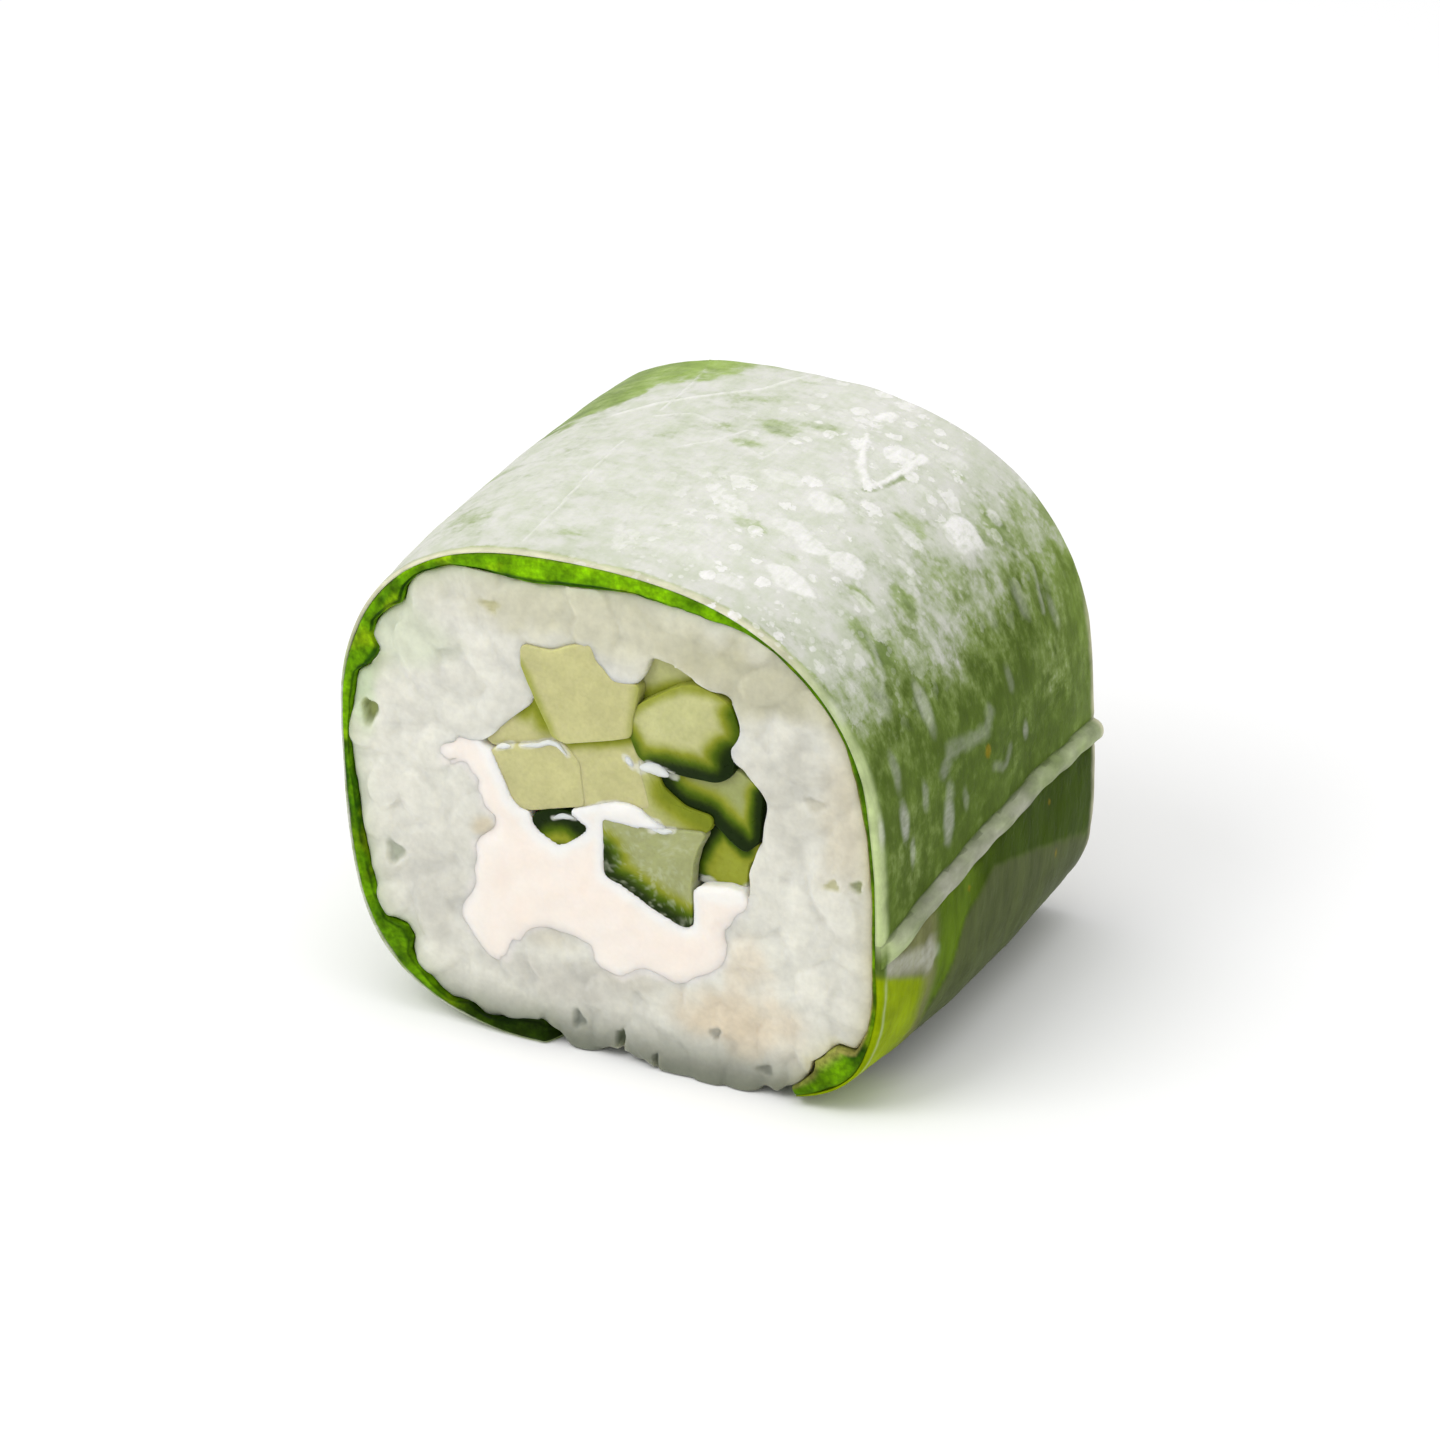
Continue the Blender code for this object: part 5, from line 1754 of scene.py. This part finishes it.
    def build(self) -> list[Piece]:
        """Builds and dresses the rice.

        Returns:
            The two cut ends and the sleeve between them.
        """
        inner = self.form.length / 2.0 - self.slab + 0.6
        points, faces = self.core(-inner, inner, 0.12)
        sleeve = new_piece("rice_sleeve", points, faces)
        paint(sleeve, "tint", np.broadcast_to(self.white, (len(points), 3)))
        pieces = [self.slab_piece(Cut.FRONT, self.front_seed), self.slab_piece(Cut.BACK, self.back_seed)]
        pieces.append(sleeve)
        material = RICE_FINISH.material()
        for piece in pieces:
            dress(piece, material, "rice")
        return pieces


PALE_FLESH = (0.515, 0.497, 0.24)
GREEN_FLESH = (0.33, 0.36, 0.14)
# The olive and deep colours serve both the flesh near the skin and the painted shade at some edges
OLIVE_FLESH_AND_SHADE = (0.26, 0.285, 0.022)
DEEP_FLESH_AND_SHADE = (0.075, 0.13, 0.002)
DARK_SKIN = (0.008, 0.019, 0.001)


@dataclass(frozen=True)
class RindAndShade:
    """Where a stick darkens towards a line, mostly its skin and at some edges painted shade: the line, from
    how far, and how dark it gets.
    """

    line: Line
    depth: float = 1.2
    darkest: float = 1.0


@dataclass(frozen=True)
class StickCut:
    """One cucumber stick: its outline on the front cut, how far its ends lie back, its flesh and skin, and
    painted shade at some edges.
    """

    name: str
    corners: Line
    front_recess: float
    back_recess: float
    flesh: Colour = PALE_FLESH
    rinds_and_shade: tuple[RindAndShade, ...] = ()
    blur: float = 0.2
    dome: float = 0.08
    frosted: float = 0.0


STICKS = (
    StickCut("top_left", (
        (-6.1, 28.1), (-4, 28.1), (-2.6, 28.8), (-1.3, 29.3), (-0.9, 28.1), (0.3, 27), (2.1, 27.1),
        (1.6, 24.8), (1.5, 23.5), (-0.2, 22.9), (-3.1, 22), (-3.9, 22.2), (-5.2, 24.7), (-6.1, 26.7),
    # The left rind is partly olive flesh at the edge and partly painted shade along it
    ), 0.05, 0.9, rinds_and_shade=(RindAndShade(((-6.3, 26.7), (-4, 22)), 1, 0.28), RindAndShade(((1.7, 23.4), (2.2, 27)), 1, 0.24))),
    StickCut("upper_left", (
        (-8.9, 20.9), (-5.6, 24.7), (-4.8, 23.3), (-3.9, 21.9), (-3.3, 21.4), (-5.9, 20.8), (-8.5, 20.5),
    # The rind at the top right corner is painted shadow
    ), 0.5, 0.8, rinds_and_shade=(RindAndShade(((-6.2, 23.8), (-5.4, 24.4), (-4.6, 23.2)), 2, 0.42),)),
    StickCut("left", (
        (-8.4, 20.2), (-7.1, 20.7), (-5.1, 21.3), (-3.9, 21.8), (-3.1, 21.6), (-2.2, 20.7), (-2.1, 19.5),
        (-1.9, 17.8), (-5.8, 16.6), (-6.6, 16.6), (-7.1, 17.2), (-8, 19.3),
    ), 0.2, 0.3),
    StickCut("middle", (
        (-3.4, 21.8), (1.4, 23.3), (1.9, 21.9), (2.1, 20.8), (2.7, 18.7), (0.1, 18.3), (-2.5, 17.45),
        (-2.7, 19.3), (-2.8, 20.6),
    # The rind along the top is painted shadow under the top left stick
    ), 0.3, 0.6, rinds_and_shade=(RindAndShade(((-2.8, 22.2), (1.8, 23.6)), 1.3, 0.42),)),
    StickCut("centre", (
        (1.7, 22.5), (2.1, 21.8), (3.2, 21.1), (3.5, 20.3), (4.2, 19.7), (5.1, 19.2), (7, 18.9), (7, 18.4),
        (6.6, 17.8), (4.3, 17.4), (2.5, 17.5), (2.1, 19.1), (1.8, 20.9),
    ), 0.35, 1.6, (0.47, 0.475, 0.20), (RindAndShade(((7.6, 18.4), (5.6, 19.1), (4.1, 20)), 2.5, 0.48),)),
    StickCut("right", (
        (3, 20.9), (4, 21.2), (5.2, 21.5), (7.1, 21.5), (7.8, 21.8), (8.6, 22.6), (9.3, 22.1), (10, 21.8),
        (10.4, 21.1), (10.3, 19.8), (10.2, 17.9), (9.3, 17), (8.6, 17.3), (7.3, 18.4), (6.8, 18.8),
        (5.8, 19), (5, 19.1), (4, 19.6), (3.4, 20.2),
    ), 0.6, 0.4, GREEN_FLESH, (
        RindAndShade(((2.8, 20.9), (3.4, 20.2), (4, 19.6), (5, 19.1), (6.8, 18.8), (7.8, 17.9), (9.3, 17)), 2.9),
        RindAndShade(((10.6, 21.1), (10.5, 19.9), (10.4, 17.9), (9.3, 16.9)), 1.8, 0.95),
    )),
    StickCut("top_right", (
        (1.4, 24.4), (1.6, 25.2), (2.4, 26), (3.5, 26.7), (4.8, 27.6), (6, 28), (7.3, 27.7), (8.5, 27),
        (8.8, 26), (9.1, 25.4), (8.6, 24.4), (8.5, 23.4), (8.7, 22.8), (8.5, 22.4), (8, 21.9), (7.3, 21.6),
        (5.6, 21.6), (4, 21.6), (2.9, 21.9), (2.1, 22), (1.8, 22.7), (1.5, 23.5),
    ), 0.2, 1.2, (0.50, 0.50, 0.24), (
        RindAndShade(((3.4, 21.3), (5.6, 21.4), (7.3, 21.3), (8.2, 21.6), (8.9, 22.5), (8.8, 23.4)), 3),
        RindAndShade(((1.1, 23.2), (1.9, 21.8), (2.9, 21.6), (4, 21.4)), 2.2, 0.72),
        RindAndShade(((8.9, 26.6), (9.2, 25.8), (9.3, 25.3), (8.9, 24)), 2, 0.72),
        # The rind along the top is painted shade
        RindAndShade(((1.3, 25), (2.3, 26.1), (4.8, 27.8), (7.3, 28), (8.6, 27.2)), 1, 0.34),
    ), 0.35, 0.4),
    StickCut("top", (
        (1.3, 24.9), (1.9, 26.2), (2.1, 27.4), (2.3, 28.4), (2.6, 29.5), (5.4, 29.6), (5.9, 28.7),
        (6.6, 27.6), (5.4, 26.6), (3, 25.6),
    ), 0.9, 1.8, (0.46, 0.47, 0.21), (
        # The rind along the lower side is painted shade in the hollow above the top right stick
        RindAndShade(((1.2, 25.6), (3, 26.2), (4.8, 27.2), (6.2, 27.6)), 1.5, 0.46),
    )),
    StickCut("bottom", (
        (-0.5, 17.2), (2.2, 17.4), (4, 17.4), (6.7, 17.8), (6.1, 16.7), (5.75, 15.3), (5.65, 13.8),
        (5.7, 11.1), (5.3, 10.9), (4.2, 11.2), (2.7, 11.9), (-0.3, 13.3),
    ), 0.12, 0.7, (0.34, 0.36, 0.165), (
        RindAndShade(((-0.7, 14.6), (-0.4, 13.1), (2.7, 11.7), (4.2, 11), (5.6, 10.6)), 3, 0.92),
    ), frosted=0.7),
    StickCut("lower_right", (
        (6.3, 17.8), (6.8, 18.5), (7.7, 18), (9.1, 17), (10, 17.8), (10, 16.9), (9.3, 16), (9.2, 15.2),
        (9.1, 14.1), (8.4, 13.9), (7.1, 14), (5.7, 14.1), (5.4, 14.5), (5.5, 15.6), (6, 16.8),
    ), 0.9, 1, (0.29, 0.32, 0.035), (
        RindAndShade(((6.9, 18.8), (5.9, 16.9), (5.3, 15.6), (5.2, 14.5), (5.6, 13.9)), 2.4),
        RindAndShade(((6.4, 18.7), (7.6, 18.2), (9.2, 17)), 1.4, 0.75),
    )),
    StickCut("sliver", (
        (-5.7, 15.7), (-5.2, 16.4), (-4.3, 16.9), (-2.8, 17), (-1.3, 16.2), (-1.8, 15.8), (-2.8, 15.1),
        (-3.7, 14.4), (-4.2, 14.8), (-5, 15.1),
    ), 0.15, 0.5, (0.05, 0.08, 0.002), (
        RindAndShade(((-5.9, 15.7), (-5.2, 16.5), (-4.3, 17), (-2.8, 17.1), (-1.2, 16.2)), 3),
    ), dome=0),
)


@dataclass(frozen=True)
class Smear:
    """A smear of cheese: its path on the front cut, its sizes, and whether it is fused with the cheese."""

    path: Line
    width: float
    thickness: float
    depth: float
    fused: bool = False


@dataclass
class Filling:
    """Cream cheese and cucumber sticks along the middle of the roll."""

    form: RollForm
    stick_columns: int = 120
    cheese_columns: int = 400
    cheese_voxel: float = 0.204
    cheese_rounds: int = 5
    fused_seed: int = 200
    smear_seed: int = 111
    cream: Colour = (0.85, 0.762, 0.682)
    cream_white: Colour = (0.84, 0.815, 0.77)
    stick_round: float = 0.11
    stick_spread: float = 0.4
    stick_overlap: float = 0.12
    cheese_outline: Line = (
        (-12.2, 19.4), (-11.4, 20.1), (-10.2, 20.4), (-9.8, 20.1), (-8.4, 20.4), (-8.1, 19.3), (-7.6, 18.4),
        (-7.1, 17.2), (-6.6, 16.6), (-5.7, 16.45), (-5.6, 15.8), (-5, 15.1), (-4.2, 14.8), (-3.7, 14.4),
        (-2.8, 15.1), (-1.8, 15.8), (-1.3, 16.2), (-2, 16.7), (-3, 17.2), (-1.9, 17.7), (-1.4, 17.9),
        (0.3, 18.6), (1.3, 18.7), (2.2, 18.5), (2.8, 17.9), (4.2, 17.5), (2.2, 17.3), (-0.5, 17.2),
        (-0.4, 13.3), (2.7, 11.8), (4.2, 11.1), (5.4, 10.8), (6, 11), (5.9, 13.4), (6.4, 14.1), (7.4, 14.3),
        (9.4, 14.4), *BESIDE_CREAM,
    )
    cheese_swell: float = 0.75
    rim_slope: float = 1.1
    rim_sink: float = 0.25
    smear_white: Colour = (0.75, 0.755, 0.69)
    speck_white: Colour = (0.52, 0.56, 0.40)
    smears: tuple[Smear, ...] = rows_of(Smear, (
        (((-12, 19.3), (-11.1, 19.5), (-10, 19.7)), 1.5, 0.9, 0.3, True),
        (((-1.6, 17.2), (-0.4, 17.9), (0.9, 18.1), (2, 17.9), (3.2, 17.5)), 1, 0.8, 0.35, True),
        (((6.5, 13.8), (6.9, 13), (6.6, 11.4)), 1.3, 0.9, 0.5, True),
        (((9.3, 14), (9.5, 13), (9.2, 12.2)), 1, 0.9, 0.4, True),
        (((-6.3, 21), (-5.1, 21.35), (-4.2, 21.75), (-3.6, 21.7), (-3, 21.1)), 0.4, 0.26, 0.15),
        (((-8, 20.45), (-7.5, 20.7), (-7, 20.85)), 0.4, 0.26, 0.15),
        (((1.1, 21.9), (1.4, 21.6), (1.6, 21.3)), 0.5, 0.3, 0.3),
        (((2.1, 21.4), (2.9, 21.6), (3.6, 21.5), (4.2, 21.3)), 0.85, 0.36, 0.2),
        (((3, 17.35), (3.8, 17.4), (4.5, 17.5)), 0.4, 0.26, 0.07),
        (((-4, 16.4), (-3.3, 16.7), (-2.5, 16.75)), 0.36, 0.2, 0.14),
    ))

    def stick(self, cut: StickCut) -> Piece:
        """Builds a stick of rings, from the middle of one cut end along its sides to the middle of the other.

        Args:
            cut: The stick's sizes.

        Returns:
            The stick, painted.
        """
        outline = rounded_outline(cut.corners, self.stick_columns, cut.blur)
        middle = outline.mean(0)
        front = self.form.front + cut.front_recess
        length = self.form.back - cut.back_recess - front
        turn = np.linspace(0.0, 0.5 * math.pi, 6)[1:]
        cap = np.linspace(0.03, 1.0, 22)
        walk = np.linspace(0.0, 1.0, 15)[1:-1]
        shares = np.concatenate([cap, np.ones(len(turn) * 2 + len(walk)), cap[::-1]])
        edge, rise = self.stick_round * (1.0 - np.sin(turn)), self.stick_round * (1.0 - np.cos(turn))
        flat = np.full(len(cap), self.stick_round)
        spread = -self.stick_spread * ease(np.minimum(walk, 1.0 - walk), 0.03, 0.12)
        insets = np.concatenate([flat, edge, spread, edge[::-1], flat])
        sides = self.stick_round + (length - 2.0 * self.stick_round) * walk
        depths = np.concatenate([0.0 * cap, rise, sides, length - rise[::-1], np.full(len(cap), length)])
        ring = outline + outward(outline) * (self.stick_overlap - insets)[:, None, None]
        ring = middle + (ring - middle) * shares[:, None, None]
        bulge = np.where(depths < 0.5 * length, -cut.dome, cut.dome) * (1.0 - shares**2)
        points = joined(ring[..., 0], (front + depths + bulge)[:, None], ring[..., 1])
        y = points[..., 1].copy()
        outwards = np.where(y < 0.0, 1.0, -1.0) * self.form.near_cuts(y, 4.0, 2.5)
        points[..., 1] += 0.07 * layered_noise(points, 1.1, 81) * outwards
        points[..., [0, 2]] += self.form.drift(y)
        faces = np.concatenate([grid_faces(*ring.shape[:2], False), self.fans(*ring.shape[:2])])
        points = np.concatenate([points.reshape(-1, 3), points[[0, -1]].mean(axis=1)])
        piece = new_piece(f"cucumber_{cut.name}_stick", points, faces)
        own = np.concatenate([ring.reshape(-1, 2), [middle, middle]])
        paint(piece, "tint", self.stick_colour(cut, own, mesh_points(piece)))
        return piece

    def stick_colour(self, cut: StickCut, flat: Array, points: Array) -> Array:
        """Pale flesh that turns olive, then green, then almost black towards the skin; the same darkening
        paints shade at some edges.

        Args:
            cut: The stick's sizes.
            flat: Each point's place on the stick's own cross-section.
            points: Each point in the row frame.

        Returns:
            A colour for each point.
        """
        seeds = 0.03 * lattice_noise(points, 0.4, 92)
        pulp = 1.0 + 0.07 * layered_noise(points, (1.6, 4.0, 1.6), 91) + seeds
        uneven = 0.15 * layered_noise(points, 0.8, 93)
        place = np.zeros(len(flat))
        for rind_and_shade in cut.rinds_and_shade:
            distance = nearest_on(flat, np.array(rind_and_shade.line), closed=False)[0] + uneven
            place = np.maximum(place, rind_and_shade.darkest * ease(distance, rind_and_shade.depth, 0.1 * rind_and_shade.depth))
        tint = coated(
            np.array(cut.flesh) * pulp[:, None],
            (OLIVE_FLESH_AND_SHADE, ease(place, 0.0, 0.42)),
            (DEEP_FLESH_AND_SHADE, ease(place, 0.3, 0.72)),
            (DARK_SKIN, ease(place, 0.6, 0.97)),
        )
        if cut.frosted:
            speck = ease(layered_noise(points, 0.32, 95), 0.0, 0.5)
            tint = blend(tint, self.speck_white, 0.5 * cut.frosted * speck)
        for smear in self.smears:
            distance, _ = nearest_on(flat, np.array(smear.path), closed=False)
            reach = 0.5 * smear.width * (1.0 + 0.5 * layered_noise(points, 0.6, 97))
            tint = blend(tint, self.smear_white, 0.6 * ease(distance, reach + 0.08, reach - 0.1))
        return tint

    def from_sticks(self, flat: Array) -> Array:
        """Distance from points on a cut face to the nearest stick's edge."""
        sticks = [nearest_on(flat, np.array(cut.corners), closed=True)[0] for cut in STICKS]
        return np.min(sticks, axis=0)

    def cheese(self) -> Piece:
        """Builds the cheese: its outline drawn along the roll, melted into a soft body with uneven faces.

        Returns:
            The cheese, painted.
        """
        outline = rounded_outline(self.cheese_outline, self.cheese_columns, 0.14)
        swell = self.cheese_swell * ease(self.from_sticks(outline), 0.3, 0.8)
        outline = outline + outward(outline) * swell[:, None]
        stations = np.linspace(self.form.front + 0.02, self.form.back - 0.02, 5)
        flat = outline + self.form.drift(stations)[:, None]
        rows = joined(flat[..., 0], stations[:, None], flat[..., 1])
        points = [rows.reshape(-1, 3), rows[[0, -1]].mean(axis=1)]
        faces = [grid_faces(*flat.shape[:2], False), self.fans(*flat.shape[:2])]
        for smear in self.smears:
            if smear.fused:
                shell, shell_faces = self.smear_shell(smear, self.fused_seed)
                faces.append(shell_faces + sum(map(len, points)))
                points.append(shell)
        piece = new_piece("cream_cheese_body", np.concatenate(points), np.concatenate(faces))
        melt_together(piece, self.cheese_voxel, self.cheese_rounds)
        points = mesh_points(piece)
        relief = 0.16 * layered_noise(points, 3.2, 101) + 0.07 * layered_noise(points, 1.1, 103)
        flat = points[:, [0, 2]] - self.form.drift(points[:, 1])
        beside = self.from_sticks(flat)
        slope = ease(nearest_on(flat, outline, closed=True)[0], self.rim_slope, 0.0) * ease(beside, 0.5, 1.4)
        relief -= np.sign(points[:, 1]) * self.rim_sink * slope
        points[:, 1] += relief * self.form.near_cuts(points[:, 1], 1.2, 0.4)
        move_points(piece, points)
        whiter = 0.25 + 0.4 * layered_noise(points, 2.2, 105) + 0.9 * ease(beside, 1.1, 0.2)
        paint(piece, "tint", blend(self.cream, self.cream_white, whiter))
        return piece

    def fans(self, rows: int, columns: int) -> Array:
        """Faces from the first and last rows of a tube to the two hub points that follow its points.

        Args:
            rows: Rows of the tube.
            columns: Points in each row.

        Returns:
            Four point numbers for each face, of which the last two are equal.
        """
        here = np.arange(columns)
        after = (here + 1) % columns
        last, hub = (rows - 1) * columns, rows * columns
        first_fan = joined(after, here, hub, hub)
        return np.concatenate([first_fan, joined(last + here, last + after, hub + 1, hub + 1)])

    def smear_shell(self, smear: Smear, seed: int) -> tuple[Array, Array]:
        """A smear's skin: its cross-section is a lens, y = t * sin(u) * |sin(u)|, or round when it is fused.

        Args:
            smear: The smear's sizes.
            seed: Picks its unevenness.

        Returns:
            Its points and faces.
        """
        corners = np.array(smear.path)
        rows, columns = 40, 20
        places = np.linspace(0.0, len(corners) - 1.0, rows)
        line = along_line(corners, np.arange(len(corners)), places)
        kernel = np.exp(-np.linspace(-2.0, 2.0, 9) ** 2)
        padded = np.pad(line, ((4, 4), (0, 0)), mode="edge")
        line = joined(*(np.convolve(padded[:, k], kernel / kernel.sum(), "valid") for k in range(2)))
        along = np.gradient(line, axis=0)
        side = joined(-along[:, 1], along[:, 0]) / np.linalg.norm(along, axis=1, keepdims=True)
        girth = np.sin(math.pi * np.linspace(0.02, 0.98, rows)[:, None]) ** 0.6
        u = circle(columns)
        flat = line[:, None] + side[:, None] * (0.5 * smear.width * girth * np.cos(u))[..., None]
        bow = np.sin(u) if smear.fused else np.sin(u) * np.abs(np.sin(u))
        y = self.form.front + smear.depth + 0.5 * smear.thickness * girth * bow
        points = joined(flat[..., 0] + self.form.face_x, y, flat[..., 1])
        uneven = joined(*(layered_noise(points, 0.9, seed + k) for k in range(3)))
        points += uneven * (0.14, 0.05, 0.14) * girth[..., None]
        faces = np.concatenate([grid_faces(rows, columns, False), self.fans(rows, columns)])
        return np.concatenate([points.reshape(-1, 3), points[[0, -1]].mean(axis=1)]), faces

    def build(self) -> list[Piece]:
        """Builds and dresses the filling.

        Returns:
            The cheese, its smears and the sticks.
        """
        cucumber, cream = CUCUMBER_FINISH.material(), CREAM_FINISH.material()
        pieces = []
        for cut in STICKS:
            piece = self.stick(cut)
            dress(piece, cucumber, f"cucumber_{cut.name}")
            pieces.append(piece)
        cheese = [self.cheese()]
        for index, smear in enumerate(smear for smear in self.smears if not smear.fused):
            piece = new_piece(f"cream_smear_{index}", *self.smear_shell(smear, self.smear_seed + index))
            paint(piece, "tint", np.broadcast_to(self.smear_white, (len(piece.data.vertices), 3)))
            cheese.append(piece)
        for piece in cheese:
            dress(piece, cream, "cream_cheese")
            pieces.append(piece)
        return pieces


@dataclass(frozen=True)
class Lamp:
    """A square soft light that looks at the roll."""

    name: str
    azimuth: float
    elevation: float
    distance: float
    size: float
    power: float
    colour: Colour = (1.0, 1.0, 1.0)


@dataclass
class Studio:
    """A pale floor, soft light and the camera."""

    form: RollForm
    azimuth: float = 26.9
    elevation: float = 27.2
    distance: float = 599.8
    lens: float = 234.0
    sensor: float = 36.0
    frame_pixels: float = 1440.0
    centre_pixel: Place = (721.2, 716.2)
    floor_side: float = 6000.0
    world_light: float = 0.72
    lamps: tuple[Lamp, ...] = (
        Lamp("key", -30.0, 50.0, 600.0, 300.0, 1.3),
        Lamp("top", 40.0, 80.0, 600.0, 400.0, 0.9),
    )

    def direction(self, azimuth: float, elevation: float) -> Vector:
        """Unit vector towards degrees round the roll, from -Y towards +X, and degrees up."""
        a, e = math.radians(azimuth), math.radians(elevation)
        return Vector((math.sin(a) * math.cos(e), -math.cos(a) * math.cos(e), math.sin(e)))

    def floor(self) -> None:
        """Builds the pale floor."""
        half = self.floor_side / 2.0 * MM
        mesh = bpy.data.meshes.new("floor")
        corners = [(x * half, y * half, 0.0) for x, y in ((-1, -1), (1, -1), (1, 1), (-1, 1))]
        mesh.from_pydata(corners, [], [(0, 1, 2, 3)])
        floor = bpy.data.objects.new("floor", mesh)
        bpy.context.scene.collection.objects.link(floor)
        shader = Shader("pale_floor")
        shader.set(base_color=(0.95, 0.95, 0.95, 1.0), roughness=0.9, specular_ior_level=0.0)
        mesh.materials.append(shader.material)

    def light(self) -> None:
        """Lights the roll from all round, and more from above and the front left."""
        world = bpy.data.worlds.new("studio")
        bpy.context.scene.world = world
        world.use_nodes = True
        background = world.node_tree.nodes["Background"]
        background.inputs["Color"].default_value = (1.0, 1.0, 1.0, 1.0)
        background.inputs["Strength"].default_value = self.world_light
        middle = Vector((0.0, 0.0, self.form.axis_z * MM))
        for lamp in self.lamps:
            data = bpy.data.lights.new(lamp.name, "AREA")
            data.shape = "SQUARE"
            data.size = lamp.size * MM
            data.energy = lamp.power
            data.color = lamp.colour
            obj = bpy.data.objects.new(lamp.name, data)
            obj.location = middle + self.direction(lamp.azimuth, lamp.elevation) * lamp.distance * MM
            obj.rotation_euler = (middle - obj.location).to_track_quat("-Z", "Y").to_euler()
            bpy.context.scene.collection.objects.link(obj)

    def camera(self) -> None:
        """Sets up the camera at the photograph's angle."""
        data = bpy.data.cameras.new("camera")
        data.lens = self.lens
        data.sensor_width = self.sensor
        half = self.frame_pixels / 2.0
        data.shift_x = (half - self.centre_pixel[0]) / self.frame_pixels
        data.shift_y = (self.centre_pixel[1] - half) / self.frame_pixels
        data.clip_start, data.clip_end = 0.01, 50.0
        obj = bpy.data.objects.new("camera", data)
        target = Vector((self.form.face_x, 0.0, self.form.half_height)) * MM
        obj.location = target + self.direction(self.azimuth, self.elevation) * self.distance * MM
        obj.rotation_euler = (target - obj.location).to_track_quat("-Z", "Y").to_euler()
        bpy.context.scene.collection.objects.link(obj)
        bpy.context.scene.camera = obj

    def build(self) -> None:
        """Builds the studio."""
        self.floor()
        self.light()
        self.camera()
        bpy.context.scene.view_settings.view_transform = "Standard"


def main() -> None:
    """Builds the roll's looks and the studio."""
    logging.basicConfig(level=logging.INFO, format="%(name)s: %(message)s")
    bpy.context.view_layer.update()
    form = RollForm()
    wrapper = Wrapper(form)
    for maker in (wrapper, RiceRing(form, wrapper), Filling(form)):
        for piece in maker.build():
            log.info("%s: %d faces", piece.name, len(piece.data.polygons))
    Studio(form).build()


if __name__ == "__main__":
    main()
